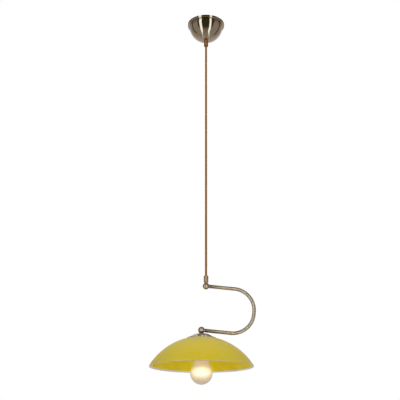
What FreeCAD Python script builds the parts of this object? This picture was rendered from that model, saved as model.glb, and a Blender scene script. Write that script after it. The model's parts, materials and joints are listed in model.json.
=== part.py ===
import FreeCAD, Part
import math
import os

# Rise and fall pendant lamp. Millimetres, +Z up. The origin is the centre of the ceiling
# bracket's top face, on the ceiling. +X runs along the arm's straight limbs, and +Y points
# away from the person who looks at the arm from the front. Angles in the XZ plane are
# counted from +X towards +Z, as that person sees them.
V = FreeCAD.Vector

# Clearances
slip = 0.05           # radial, between a shaft or thread and its hole
air = 0.3             # between faces that pass or lie close without touching

# Ceiling cup, drawn round the reel's cradle
cup_flange_height = 6.3
cup_ledge = 5.5           # flange stands out past the bowl
cup_sheet = 1.2
cup_clearance = 0.88      # from the cradle's lowest corners to the bowl
cup_flat_radius = 10.0
cup_edge_radius = 1.5

# Ceiling bracket
bracket_thickness = 2.0
bracket_width = 20.0
bracket_clearance = 5.3   # from the bracket's ends to the cup
slot_inset = 9.0          # from the bracket's end to the slot's middle
slot_width = 4.5
slot_length = 12.0
lug_width = 18.0
lug_margin = 5.5          # past the terminal block

# Cable and the spring reel that takes it up
cable_radius = 3.0
winding_radius = 15.5     # reel axis to cable centre, so the cable drops on the cup's axis
winding_gap = 0.8
winding_quarters = 9      # quarter turns on the drum as it hangs
spare_quarters = 9        # quarter turns that the drum still takes up
drum_headroom = 3.7       # under the bracket
drum_floor_gap = 2.2      # over the cradle's floor
drum_wall = 1.2
drum_cheek = 1.2
drum_flange_margin = 0.8  # flange stands past the cable
drum_hub_radius = 6.0
anchor_run = 6.0          # straight end of the cable on the drum, one cable diameter
anchor_thickness = 4.0
anchor_height = 7.5
axle_radius = 3.0
axle_head_radius = 5.0
axle_head_length = 2.0
clip_thickness = 1.0
clip_radius = 4.6

# Clock spring in the drum
spring_strip = 0.5
spring_halves = 10
spring_width = 25.0

# Slip rings and brushes
ring_width = 2.0
ring_height = 0.5
brush_radius = 1.2
brush_length = 1.4
brush_plate_thickness = 1.4
brush_plate_inset = 1.3   # its edge lies inside the drum's flange
ring_inset = 3.0          # from that edge to the outer ring's middle

# Cradle that carries the reel
cradle_sheet = 1.5
cradle_width = 16.0
cradle_ear_radius = 8.5
cradle_bend = 1.0
cradle_tab = 9.5
cradle_side_gap = 3.0     # from a drum flange to the cradle's cheek

# Fixings
tab_screw_radius = 2.0
tab_screw_head_radius = 3.6
tab_screw_head_height = 2.4
nipple_radius = 5.0
nipple_bore = 3.4
nipple_nut_height = 3.0
nipple_grip = 12.0        # nipple's length inside the cable nozzle
hex_across = 14.0
spacer_across = 15.0

# Terminal block
terminal_width = 17.0
terminal_length = 30.0
terminal_height = 12.0
terminal_pitch = 9.0
terminal_bore = 1.8
terminal_screw_radius = 1.6
terminal_offset = 22.0

# Cable nozzle under the cup and cable sleeve at the other end
sleeve_radius = 6.5
sleeve_edge = 0.7
nozzle_length = 20.2
liner_wall = 1.3
liner_flange = 1.3
cable_drop = 723.5        # free cable between nozzle and sleeve as it hangs
sleeve_length = 18.7
sleeve_bore = 5.0
sleeve_lip = 2.0
insert_length = 10.0
tail_length = 11.5
grip_screw_radius = 1.5
grip_screw_depth = 5.0
swivel_nut_height = 3.0

# Ball knuckles at the two ends of the arm
ball_radius = 9.5
ball_gap = 0.4
hub_radius = 5.7
boss_start = 6.0          # from the ball's centre
boss_radius = 4.5
stud_radius = 4.0
wire_bore = 2.2
pivot_screw_radius = 1.5
pivot_thread_depth = 6.0
pivot_head_radius = 2.8
pivot_head_height = 2.0
pivot_washer = 0.6
pivot_pocket = 5.0        # floor of the screw's pocket, from the ball's middle plane
knuckle_slack = 1.0       # degrees past each stop

# Arm
arm_tilt = -5.8
arm_run = 79.4            # ball centre to the start of the bend
arm_bend_radius = 58.0
arm_back = 6.0            # straight between the two bends
tube_radius = 5.0
tube_bore = 3.5
tube_start = 9.0          # from the ball's centre
spigot_length = 8.0
lead_radius = 2.8

# How far the knuckles turn, in degrees from the hanging pose
arm_down = -45.0
arm_up = 15.0
shade_out = -45.0
shade_in = 8.0

# Gallery over the glass
gallery_neck = 1.1
neck_radius = 5.5
gallery_sheet = 1.0
gallery_flat_radius = 16.0
gallery_shoulder_radius = 22.0
gallery_shoulder_drop = 1.8
gallery_seat_radius = 36.5
gallery_radius = 39.5
gasket_thickness = 0.7

# Glass shade, a cap of a sphere
glass_radius = 164.0
glass_wall = 3.2
glass_rim_radius = 140.0
glass_hole_radius = 21.0
glass_apex_drop = 7.3     # gallery's top to where the sphere's top would be

# Lampholder
holder_radius = 19.8
holder_wall = 2.6
holder_cap_height = 8.6
holder_cap_flat = 12.0
holder_length = 54.0
stud_grip = 7.0
carrier_height = 14.0
carrier_bore = 9.0
shell_radius = 13.35
shell_sheet = 0.5
shell_length = 20.0
ring_nut_radius = 28.0
ring_nut_height = 7.0
ring_nut_notches = 16
ring_nut_notch = 1.6

# Bulb
contact_depth = 27.4      # gallery's top to the bulb's contact
bulb_length = 106.0
bulb_radius = 30.0
bulb_waist_radius = 80.0
bulb_waist_angle = 31.0
bulb_wall = 1.0
bulb_cap_length = 24.0
bulb_cap_radius = 13.1
bulb_cap_groove = 0.9
bulb_cap_ribs = 5
bulb_cap_pitch = 3.6
bulb_contact_radius = 4.8
bulb_contact_height = 1.0
bulb_insulator_radius = 9.5
bulb_insulator_height = 2.6

# Reel, cradle, cup and bracket, each worked out from the one before it
reel_x = -winding_radius
winding_pitch = 2 * cable_radius + winding_gap
core_radius = winding_radius - cable_radius - air
spring_room = core_radius - drum_wall - axle_radius - 2 * air
spring_pitch = 2 * (spring_room - spring_strip) / spring_halves
drum_flange_radius = winding_radius + cable_radius + drum_flange_margin
drum_back = -(winding_quarters * winding_pitch / 4 + cable_radius + air)
drum_front = spare_quarters * winding_pitch / 4 + cable_radius + air
brush_plate_radius = drum_flange_radius - brush_plate_inset
outer_ring = brush_plate_radius - ring_inset
ring_radii = ((drum_hub_radius + outer_ring) / 2, outer_ring)
cheek_front = drum_front + drum_cheek + cradle_side_gap
cheek_back = drum_back - drum_cheek - cradle_side_gap
reel_z = -(bracket_thickness + drum_headroom + drum_flange_radius)
cradle_depth = drum_flange_radius - reel_z + drum_floor_gap + cradle_sheet
cradle_corner = math.hypot(cradle_width / 2, max(cheek_front, -cheek_back) + cradle_sheet)
cup_bowl_inside = math.hypot(cradle_corner, cradle_depth - cup_flange_height) + cup_clearance
cup_bowl_radius = cup_bowl_inside + cup_sheet
cup_flange_radius = cup_bowl_radius + cup_ledge
bracket_length = 2 * (cup_flange_radius - cup_sheet - bracket_clearance)
slot_spacing = bracket_length - 2 * slot_inset
lug_reach = terminal_offset + terminal_width / 2 + lug_margin

# Places that follow from the sizes above
cup_floor = -cup_flange_height - math.sqrt(cup_bowl_radius**2 - cup_flat_radius**2)
nozzle_end = cup_floor - nozzle_length
nipple_end = cup_floor - nipple_grip
sleeve_top = nozzle_end - cable_drop
sleeve_end = sleeve_top - sleeve_length
upper_ball = V(0, 0, sleeve_end - ball_gap - ball_radius)
arm_along = V(math.cos(math.radians(arm_tilt)), 0, math.sin(math.radians(arm_tilt)))
arm_across = V(arm_along.z, 0, -arm_along.x)
arm_depth = 2 * arm_bend_radius + arm_back
lower_ball = upper_ball + arm_across * arm_depth
lamp_x = lower_ball.x
gallery_top = lower_ball.z - ball_radius - gallery_neck
glass_centre = gallery_top - glass_apex_drop - glass_radius
holder_top = gallery_top - gallery_sheet
contact_top = gallery_top - contact_depth
bulb_neck = contact_top - bulb_cap_length
bulb_tip = contact_top - bulb_length
bulb_centre = bulb_tip + bulb_radius
lean = V(0, -1, 0)        # a positive turn about this raises the arm's right-hand side


# ---- shapes that many pieces share

def bulge(centre, start, end):
    """Step of an outline: the shorter arc about centre from start to end."""
    out = [(start[i] + end[i]) / 2 - centre[i] for i in (0, 1)]
    reach = math.dist(centre, start) / math.hypot(*out)
    return (centre[0] + out[0] * reach, centre[1] + out[1] * reach, *end)


def outline(start, *steps):
    """Closed face in the XZ plane. A step of two numbers is a straight edge to that point,
    and one of four is an arc through its first point to its second."""
    edges = []
    here = V(start[0], 0, start[1])
    for step in (*steps, start):
        there = V(step[-2], 0, step[-1])
        if len(step) == 4:
            edges.append(Part.Arc(here, V(step[0], 0, step[1]), there).toShape())
        elif here.distanceToPoint(there) > 1e-6:
            edges.append(Part.LineSegment(here, there).toShape())
        here = there
    return Part.Face(Part.Wire(edges))


def turned(face, x=0.0):
    """Solid turned from a half section about the vertical through x."""
    solid = face.revolve(V(0, 0, 0), V(0, 0, 1), 360)
    solid.translate(V(x, 0, 0))
    return solid


def on_reel_axis(solid):
    """Lays a solid made about the Z axis along the reel's axis, its +Z towards +Y."""
    solid.rotate(V(0, 0, 0), V(1, 0, 0), -90)
    solid.translate(V(reel_x, 0, reel_z))
    return solid


def bar(radius, start, end):
    return Part.makeCylinder(radius, (end - start).Length, start, end - start)


def post(radius, bottom, top, x=0.0, y=0.0):
    return bar(radius, V(x, y, bottom), V(x, y, top))


def block(x0, x1, y0, y1, z0, z1):
    return Part.makeBox(x1 - x0, y1 - y0, z1 - z0, V(x0, y0, z0))


def hexagon(across, bottom, top, x=0.0, y=0.0):
    corner = across / math.sqrt(3)
    turns = [math.radians(60 * k) for k in range(7)]
    points = [V(x + corner * math.cos(turn), y + corner * math.sin(turn), bottom) for turn in turns]
    return Part.Face(Part.makePolygon(points)).extrude(V(0, 0, top - bottom))


def slot(x, y, bottom, top):
    """Cutter for a slot along Y."""
    reach = (slot_length - slot_width) / 2
    ends = [post(slot_width / 2, bottom, top, x, y + side * reach) for side in (-1, 1)]
    middle = block(x - slot_width / 2, x + slot_width / 2, y - reach, y + reach, bottom, top)
    return middle.fuse(ends)


def group(solids):
    return Part.makeCompound(solids)


# ---- ceiling: bracket, cradle, cup

def ceiling_bracket():
    half = bracket_width / 2
    straight = bracket_length / 2 - half
    plate = block(-half, half, -straight, straight, -bracket_thickness, 0)
    ends = [post(half, -bracket_thickness, 0, 0, side * straight) for side in (-1, 1)]
    lug = block(0, lug_reach, -lug_width / 2, lug_width / 2, -bracket_thickness, 0)
    plate = plate.fuse(ends + [lug]).removeSplitter()
    holes = [slot(0, side * slot_spacing / 2, -bracket_thickness, 0) for side in (-1, 1)]
    holes += [post(tab_screw_radius + slip, -bracket_thickness, 0, 0, y) for y in tab_screw_places()]
    holes.append(post(terminal_screw_radius + slip, -bracket_thickness, 0, terminal_offset, 0))
    return plate.cut(holes)


def tab_screw_places():
    reach = cradle_sheet + cradle_tab / 2
    return (cheek_back - reach, cheek_front + reach)


def cradle_strip(cheek, side):
    """Half of the bent strip's section, from the middle of the floor out to one tab."""
    floor = -cradle_depth
    roof = -bracket_thickness
    inner = side * cheek
    outer = inner + side * cradle_sheet
    tip = outer + side * cradle_tab
    soft = cradle_bend
    hard = cradle_bend + cradle_sheet
    low = (inner - side * soft, floor + hard)
    high = (outer + side * soft, roof - hard)
    return outline(
        (0, floor),
        (low[0], floor),
        bulge(low, (low[0], floor), (outer, low[1])),
        (outer, high[1]),
        bulge(high, (outer, high[1]), (high[0], roof - cradle_sheet)),
        (tip, roof - cradle_sheet),
        (tip, roof),
        (high[0], roof),
        bulge(high, (high[0], roof), (inner, high[1])),
        (inner, low[1]),
        bulge(low, (inner, low[1]), (low[0], floor + cradle_sheet)),
        (0, floor + cradle_sheet),
    )


def cradle():
    front = cradle_strip(cheek_front, 1)
    back = cradle_strip(-cheek_back, -1)
    reach = 2 * cradle_depth
    halves = []
    for face in (front, back):
        solid = face.extrude(V(0, reach, 0))
        solid.translate(V(0, -reach / 2, 0))
        solid.rotate(V(0, 0, 0), V(0, 0, 1), 90)
        halves.append(solid)
    strip = halves[0].fuse(halves[1]).removeSplitter()
    half = cradle_width / 2
    ear = cradle_ear_radius
    side_view = outline(
        (half, 0),
        (half, -cradle_depth),
        (-half, -cradle_depth),
        (reel_x - ear, reel_z - ear),
        (reel_x - ear, reel_z + ear),
        (-half, -bracket_thickness - cradle_sheet - cradle_bend),
        (-half, 0),
    )
    side_view = side_view.extrude(V(0, 2 * reach, 0))
    side_view.translate(V(0, -reach, 0))
    strip = strip.common(side_view)
    holes = [post(tab_screw_radius + slip, -cradle_depth / 2, 0, 0, y) for y in tab_screw_places()]
    holes.append(post(nipple_radius + slip, -cradle_depth - 1, -cradle_depth + 2 * cradle_sheet))
    holes.append(bar(axle_radius + slip, V(reel_x, -reach, reel_z), V(reel_x, reach, reel_z)))
    return strip.cut(holes)


def cradle_screws():
    top = -bracket_thickness - cradle_sheet
    screws = []
    for y in tab_screw_places():
        shank = post(tab_screw_radius, top, -air, 0, y)
        head = post(tab_screw_head_radius, top - tab_screw_head_height, top, 0, y)
        low = top - tab_screw_head_height
        driver = hexagon(tab_screw_radius * 1.5, low, low + tab_screw_head_height * 2 / 3, 0, y)
        screws.append(shank.fuse(head).removeSplitter().cut(driver))
    return group(screws)


def ceiling_cup():
    shoulder = -cup_flange_height
    bowl = (0, shoulder)
    edge = cup_edge_radius
    rim = cup_flange_radius
    inner_bowl = cup_bowl_radius - cup_sheet
    inner_floor = cup_floor + cup_sheet
    inner_flat = math.sqrt(inner_bowl**2 - (inner_floor - shoulder) ** 2)
    hole = nipple_radius + slip
    return turned(outline(
        (hole, cup_floor),
        (cup_flat_radius, cup_floor),
        bulge(bowl, (cup_flat_radius, cup_floor), (cup_bowl_radius, shoulder)),
        (rim - edge, shoulder),
        bulge((rim - edge, shoulder + edge), (rim - edge, shoulder), (rim, shoulder + edge)),
        (rim, 0),
        (rim - cup_sheet, 0),
        (rim - cup_sheet, shoulder + cup_sheet),
        (inner_bowl, shoulder + cup_sheet),
        (inner_bowl, shoulder),
        bulge(bowl, (inner_bowl, shoulder), (inner_flat, inner_floor)),
        (hole, inner_floor),
    ))


def cup_nipple():
    top = -cradle_depth + cradle_sheet + nipple_nut_height
    return post(nipple_radius, nipple_end, top).cut(post(nipple_bore, nipple_end, top))


def nut_on_nipple(across, bottom, top):
    return hexagon(across, bottom, top).cut(post(nipple_radius + slip, bottom, top))


def terminal_block():
    top = -bracket_thickness
    bottom = top - terminal_height
    left = terminal_offset - terminal_width / 2
    right = left + terminal_width
    body = block(left, right, -terminal_length / 2, terminal_length / 2, bottom, top)
    for way in terminal_ways():
        middle = (bottom + top) / 2
        body = body.cut(bar(terminal_bore, V(left, way, middle), V(right, way, middle)))
        for x in terminal_screw_places():
            body = body.cut(post(terminal_screw_radius + slip, bottom, middle, x, way))
    groove = 1.0
    for way in (-terminal_pitch / 2, terminal_pitch / 2):
        body = body.cut(block(left, right, way - groove / 2, way + groove / 2, bottom, bottom + groove))
    fixing = post(terminal_screw_radius + slip, bottom, top, terminal_offset, 0)
    return body.cut(fixing)


def terminal_ways():
    return (-terminal_pitch, 0, terminal_pitch)


def terminal_screw_places():
    reach = terminal_width / 4
    return (terminal_offset - reach, terminal_offset + reach)


def terminal_screws():
    bottom = -bracket_thickness - terminal_height
    middle = bottom + terminal_height / 2 - terminal_bore
    screws = []
    for way in terminal_ways():
        for x in terminal_screw_places():
            screw = post(terminal_screw_radius, bottom + 1, middle, x, way)
            cut = block(x - 2, x + 2, way - 0.25, way + 0.25, bottom + 1, bottom + 1.8)
            screws.append(screw.cut(cut))
    fixing = post(terminal_screw_radius, bottom - 1, -air, terminal_offset, 0)
    head = post(terminal_screw_radius * 1.3, bottom - 1, bottom, terminal_offset, 0)
    screws.append(fixing.fuse(head).removeSplitter())
    return group(screws)


# ---- cable reel

def reel_axle():
    shank = bar(axle_radius, V(reel_x, cheek_back - cradle_sheet - 2 * clip_thickness, reel_z),
                V(reel_x, cheek_front + cradle_sheet, reel_z))
    head = bar(axle_head_radius, V(reel_x, cheek_front + cradle_sheet, reel_z),
               V(reel_x, cheek_front + cradle_sheet + axle_head_length, reel_z))
    return shank.fuse(head).removeSplitter()


def axle_clip():
    start = V(reel_x, cheek_back - cradle_sheet, reel_z)
    end = start - V(0, clip_thickness, 0)
    return bar(clip_radius, start, end).cut(bar(axle_radius + slip, start, end))


def reel_drum():
    """Core with two flanges. Its front end is a wall with a hub, its back end is open."""
    cavity = core_radius - drum_wall
    wall = drum_front - 3 * drum_wall
    flange = drum_flange_radius
    face = drum_front + drum_cheek
    hub = cheek_front - brush_plate_thickness - ring_height
    bore = axle_radius + slip
    drum = on_reel_axis(turned(outline(
        (bore, wall),
        (cavity, wall),
        (cavity, drum_back - drum_cheek),
        (flange, drum_back - drum_cheek),
        (flange, drum_back),
        (core_radius, drum_back),
        (core_radius, drum_front),
        (flange, drum_front),
        (flange, face),
        (drum_hub_radius, face),
        (drum_hub_radius, hub),
        (bore, hub),
    )))
    return drum.fuse(cable_anchor()).removeSplitter()


def winding_end():
    """Where the helix stops on the drum, and the way that the cable then runs."""
    turn = math.radians(90 * winding_quarters)
    place = V(reel_x + winding_radius * math.cos(turn), -winding_pitch * winding_quarters / 4,
              reel_z + winding_radius * math.sin(turn))
    return place, V(-math.sin(turn), 0, math.cos(turn))


def cable_anchor():
    """Lug on the drum that the cable's end meets square on."""
    place, way = winding_end()
    out = V(way.z, 0, -way.x)
    face = place + way * anchor_run
    base = face - out * winding_radius
    depth = core_radius - 2 * drum_wall
    corners = [base + out * depth, base + out * (winding_radius + cable_radius / 3)]
    corners += [corners[1] + way * anchor_thickness, corners[0] + way * anchor_thickness]
    half = V(0, anchor_height / 2 - winding_gap - air, 0)
    lug = Part.Face(Part.makePolygon([c - half for c in corners + corners[:1]])).extrude(half * 2)
    inside = on_reel_axis(post(core_radius - drum_wall, drum_back, drum_front))
    return lug.cut(inside)


def spring_cover():
    """Plug in the drum's open end, with the second hub."""
    end = drum_back - drum_cheek
    hub = cheek_back + air
    bore = axle_radius + slip
    plug = core_radius - drum_wall - slip
    return on_reel_axis(turned(outline(
        (bore, hub),
        (drum_hub_radius, hub),
        (drum_hub_radius, end),
        (plug, end),
        (plug, end + 2 * drum_wall),
        (bore, end + 2 * drum_wall),
    )))


def spiral_line(radius):
    """Edges of a spiral of half circles that starts at the given radius."""
    edges = []
    for k in range(spring_halves):
        centre = V((-1) ** (k + 1) * spring_pitch / 4, 0, 0)
        size = radius + k * spring_pitch / 2
        side = (-1) ** k
        start = centre + V(side * size, 0, 0)
        top = centre + V(0, side * size, 0)
        edges.append(Part.Arc(start, top, centre - V(side * size, 0, 0)).toShape())
    return edges


def reel_spring():
    first = axle_radius + air + spring_strip / 2 + spring_pitch / 4
    inner = spiral_line(first - spring_strip / 2)
    outer = spiral_line(first + spring_strip / 2)
    starts = [inner[0].Vertexes[0].Point, outer[0].Vertexes[0].Point]
    ends = [inner[-1].Vertexes[-1].Point, outer[-1].Vertexes[-1].Point]
    caps = [Part.LineSegment(*starts).toShape(), Part.LineSegment(*ends).toShape()]
    wire = Part.Wire(Part.__sortEdges__(inner + outer + caps))
    strip = Part.Face(wire).extrude(V(0, 0, spring_width))
    strip.translate(V(0, 0, drum_back - drum_cheek + 2 * drum_wall + air))
    return on_reel_axis(strip)


def slip_rings():
    face = drum_front + drum_cheek
    rings = []
    for radius in ring_radii:
        ring = post(radius + ring_width / 2, face, face + ring_height)
        rings.append(on_reel_axis(ring.cut(post(radius - ring_width / 2, face, face + ring_height))))
    return group(rings)


def brush_holder():
    front = cheek_front
    back = front - brush_plate_thickness
    plate = post(brush_plate_radius, back, front).cut(post(drum_hub_radius + air, back, front))
    half = cradle_ear_radius
    sector = block(-half, half, -brush_plate_radius, brush_plate_radius, back, front)
    plate = plate.common(sector)
    for radius in ring_radii:
        plate = plate.cut(post(brush_radius + slip, back, front, 0, radius))
    return on_reel_axis(plate)


def brushes():
    start = drum_front + drum_cheek + ring_height
    end = cheek_front - slip
    return group([on_reel_axis(post(brush_radius, start, end, 0, radius)) for radius in ring_radii])


def biarc(start, way, end, end_way):
    """Two arcs from start to end that leave and arrive along the given directions."""
    chord = end - start
    a = 2 * (1 - way.dot(end_way))
    b = 2 * chord.dot(way + end_way)
    c = -chord.dot(chord)
    reach = (-b + math.sqrt(b * b - 4 * a * c)) / (2 * a)
    corners = [start + way * reach, end - end_way * reach]
    joint = (corners[0] + corners[1]) * 0.5
    arcs = []
    for first, corner, last in ((start, corners[0], joint), (joint, corners[1], end)):
        half_chord = (last - first).Length / 2
        drop = math.sqrt(reach**2 - half_chord**2)
        radius = reach * half_chord / drop
        to_centre = ((first + last) * 0.5 - corner).normalize()
        arcs.append(Part.Arc(first, corner + to_centre * (math.hypot(radius, reach) - radius), last))
    return arcs


def winding_route():
    """Cable up through the nozzle, then quarter turns round the drum to its anchor."""
    down = V(0, 0, nozzle_end)
    place = V(reel_x + winding_radius, 0, reel_z)
    way = V(0, 0, 1)
    route = [Part.LineSegment(down, place)]
    for k in range(1, winding_quarters + 1):
        turn = math.radians(90 * k)
        step = -winding_pitch / (2 * math.pi) if k < winding_quarters else 0
        there = V(reel_x + winding_radius * math.cos(turn), -winding_pitch * k / 4,
                  reel_z + winding_radius * math.sin(turn))
        onward = V(-winding_radius * math.sin(turn), step, winding_radius * math.cos(turn)).normalize()
        route += biarc(place, way, there, onward)
        place, way = there, onward
    route.append(Part.LineSegment(place, place + way * anchor_run))
    return route


def swept(route, radius):
    """Round tube along tangent runs and arcs."""
    edges = [piece.toShape() for piece in route]
    start = edges[0].valueAt(edges[0].FirstParameter)
    way = edges[0].tangentAt(edges[0].FirstParameter)
    ring = Part.Wire(Part.makeCircle(radius, start, way))
    return Part.Wire(edges).makePipeShell([ring], True, False)


def report_route(name, route, radius, solid):
    length = sum(piece.length() for piece in route)
    curves = [piece.toShape().Curve for piece in route]
    radii = sorted({round(curve.Radius, 2) for curve in curves if hasattr(curve, "Radius")})
    share = solid.Volume / (math.pi * radius**2 * length)
    print(f"{name}: length {length:.1f}, radii {radii[:3]}, volume over section x length {share:.4f}")


def report_least_gap(name, route, radius, turn_length):
    """Least gap of a wound tube to itself, measured between points along its middle."""
    points = []
    run = 0.0
    for piece in route:
        steps = max(2, int(piece.length() / (radius / 2)))
        for k in range(steps):
            at = piece.FirstParameter + (piece.LastParameter - piece.FirstParameter) * k / steps
            points.append((run + piece.length() * k / steps, piece.value(at)))
        run += piece.length()
    least = min((p - q).Length for s, p in points for t, q in points if t - s > turn_length / 2)
    print(f"{name}: least gap to itself {least - 2 * radius:.2f}")


# ---- cable ends

def sleeve(top, bottom, bores):
    """Turned sleeve with softened edges. bores are its (radius, depth below the top) steps."""
    edge = sleeve_edge
    out = sleeve_radius
    steps = []
    level = bottom
    for radius, depth in reversed(bores):
        steps.append((radius, level))
        level = top - depth
        steps.append((radius, level))
    return turned(outline(
        steps[0],
        (out - edge, bottom),
        bulge((out - edge, bottom + edge), (out - edge, bottom), (out, bottom + edge)),
        (out, top - edge),
        bulge((out - edge, top - edge), (out, top - edge), (out - edge, top)),
        *reversed(steps[1:]),
    ))


def cable_nozzle():
    liner_out = cable_radius + slip + liner_wall + slip
    liner_seat = nipple_grip + liner_flange
    return sleeve(cup_floor, nozzle_end, [(nipple_radius + slip, 0), (liner_out, liner_seat)])


def nozzle_liner():
    bore = cable_radius + slip
    return turned(outline(
        (bore, nozzle_end),
        (bore + liner_wall, nozzle_end),
        (bore + liner_wall, nipple_end - liner_flange),
        (nipple_radius, nipple_end - liner_flange),
        (nipple_radius, nipple_end),
        (bore, nipple_end),
    ))


def cable_sleeve():
    lip = sleeve_length - sleeve_lip
    body = sleeve(sleeve_top, sleeve_end, [(sleeve_bore, 0), (stud_radius + slip, lip)])
    return body.cut(grip_screw_bar(sleeve_bore / 2, grip_screw_radius + slip))


def grip_screw_bar(start, radius):
    level = sleeve_top - grip_screw_depth
    return bar(radius, V(0, start, level), V(0, sleeve_radius, level))


def grip_insert():
    top = sleeve_top
    body = post(sleeve_bore - slip, top - insert_length, top)
    return body.cut(post(cable_radius + slip, top - insert_length, top))


def grip_screw():
    return grip_screw_bar(sleeve_bore, grip_screw_radius)


# ---- ball knuckles

def polar(angle):
    return V(math.cos(math.radians(angle)), 0, math.sin(math.radians(angle)))


def wedge(inner, outer, thickness, first, last):
    """Part of a flat ring about the Y axis, between two angles."""
    low, high = sorted((0, thickness))
    points = [V(inner, low, 0), V(outer, low, 0), V(outer, high, 0), V(inner, high, 0)]
    face = Part.Face(Part.makePolygon(points + points[:1]))
    face.rotate(V(0, 0, 0), lean, first)
    return face.revolve(V(0, 0, 0), lean, last - first)


def half_ball(side, own, own_radius, shoulder, other_radius, sweep):
    """Half of a ball knuckle, cut on the plane of the arm. side is 1 for the back half.
    own is the angle of its boss, which ends at shoulder, and sweep holds the angles that
    the other half's boss passes through."""
    big = 2 * ball_radius
    own_space = block(-2 * big, 2 * big, *sorted((0, side * big)), -2 * big, 2 * big)
    half = Part.makeSphere(ball_radius).common(own_space)
    spread = math.degrees(math.atan2(other_radius + air, boss_start)) + knuckle_slack
    relief = wedge(hub_radius, big, side * (other_radius + air), sweep[0] - spread, sweep[1] + spread)
    half = half.cut(relief)
    along = polar(own)
    rooted = bar(own_radius, along * (hub_radius / 2), along * shoulder).common(own_space)
    free = bar(own_radius, along * boss_start, along * shoulder)
    half = half.fuse([rooted, free]).removeSplitter()
    return half.cut(bar(wire_bore, along * (boss_start + wire_bore / 2), along * shoulder))


def pivot_bore(radius, reach):
    return bar(radius, V(0, 0, 0), V(0, reach, 0))


def front_half(own, other_radius, sweep):
    """Half that carries the arm: a shoulder for the tube and a spigot inside it."""
    half = half_ball(-1, own, boss_radius, tube_start - air, other_radius, sweep)
    along = polar(own)
    collar = bar(tube_radius, along * (tube_start - air), along * tube_start)
    spigot = bar(tube_bore - slip, along * tube_start, along * (tube_start + spigot_length))
    passage = bar(wire_bore, along * (boss_start + wire_bore / 2), along * (tube_start + spigot_length))
    half = half.fuse([collar, spigot]).removeSplitter().cut(passage)
    return half.cut(pivot_bore(pivot_screw_radius + slip, -pivot_thread_depth - air))


def back_half(own, shoulder, other_radius, sweep):
    """Half with the stud, drilled and pocketed for the pivot screw."""
    half = half_ball(1, own, stud_radius, shoulder, other_radius, sweep)
    pocket = bar(pivot_head_radius + air, V(0, pivot_pocket, 0), V(0, 2 * ball_radius, 0))
    return half.cut([pivot_bore(pivot_screw_radius + slip, pivot_pocket), pocket])


def pivot_washer_ring():
    start = V(0, pivot_pocket, 0)
    end = V(0, pivot_pocket + pivot_washer, 0)
    return bar(pivot_head_radius, start, end).cut(bar(pivot_screw_radius + slip, start, end))


def pivot_screw():
    floor = pivot_pocket + pivot_washer
    shank = bar(pivot_screw_radius, V(0, -pivot_thread_depth, 0), V(0, floor, 0))
    head = bar(pivot_head_radius, V(0, floor, 0), V(0, floor + pivot_head_height, 0))
    top = floor + pivot_head_height
    slit = block(-pivot_head_radius, pivot_head_radius, top - pivot_head_height / 2, top, -air, air)
    return shank.fuse(head).removeSplitter().cut(slit)


def at(solid, place):
    solid.translate(place)
    return solid


def upper_knuckle():
    stud_end = sleeve_end - upper_ball.z + sleeve_lip + swivel_nut_height
    front = front_half(arm_tilt, stud_radius, (90 - arm_up, 90 - arm_down))
    back = back_half(90, stud_end, tube_radius, (arm_tilt + arm_down, arm_tilt + arm_up))
    return at(front, upper_ball), at(back, upper_ball)


def lower_knuckle():
    stud_end = ball_radius + gallery_neck + gallery_sheet + stud_grip
    front = front_half(arm_tilt, stud_radius, (shade_out - 90, shade_in - 90))
    back = back_half(-90, stud_end, boss_radius, (arm_tilt - shade_in, arm_tilt - shade_out))
    neck = bar(neck_radius, V(0, 0, -ball_radius - air), V(0, 0, -ball_radius - gallery_neck))
    passage = bar(wire_bore, V(0, 0, -ball_radius), V(0, 0, -stud_end))
    back = back.fuse(neck).removeSplitter().cut(passage)
    return at(front, lower_ball), at(back, lower_ball)


def swivel_nut():
    bottom = sleeve_end + sleeve_lip
    top = bottom + swivel_nut_height
    return post(sleeve_bore - slip, bottom, top).cut(post(stud_radius + slip, bottom, top))


# ---- arm

def arm_point(along, across):
    return upper_ball + arm_along * along + arm_across * across


def arm_route(end_gap):
    """Middle line of the arm from one ball to the other."""
    radius = arm_bend_radius
    half_way = math.sqrt(0.5) * radius
    far = arm_run + radius
    middle = arm_run + half_way
    upper_bend = [arm_point(arm_run, 0), arm_point(middle, radius - half_way), arm_point(far, radius)]
    lower_start = arm_point(far, arm_depth - radius)
    lower_middle = arm_point(middle, arm_depth - radius + half_way)
    lower_end = arm_point(arm_run, arm_depth)
    return [
        Part.LineSegment(arm_point(end_gap, 0), upper_bend[0]),
        Part.Arc(*upper_bend),
        Part.LineSegment(upper_bend[2], lower_start),
        Part.Arc(lower_start, lower_middle, lower_end),
        Part.LineSegment(lower_end, arm_point(end_gap, arm_depth)),
    ]


def arm_tube():
    route = arm_route(tube_start)
    return swept(route, tube_radius).cut(swept(route, tube_bore))


# ---- gallery, glass and lampholder, drawn about the Z axis and moved to the lamp's axis

def on_sphere(radius, r):
    return glass_centre + math.sqrt(radius**2 - r**2)


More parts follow.
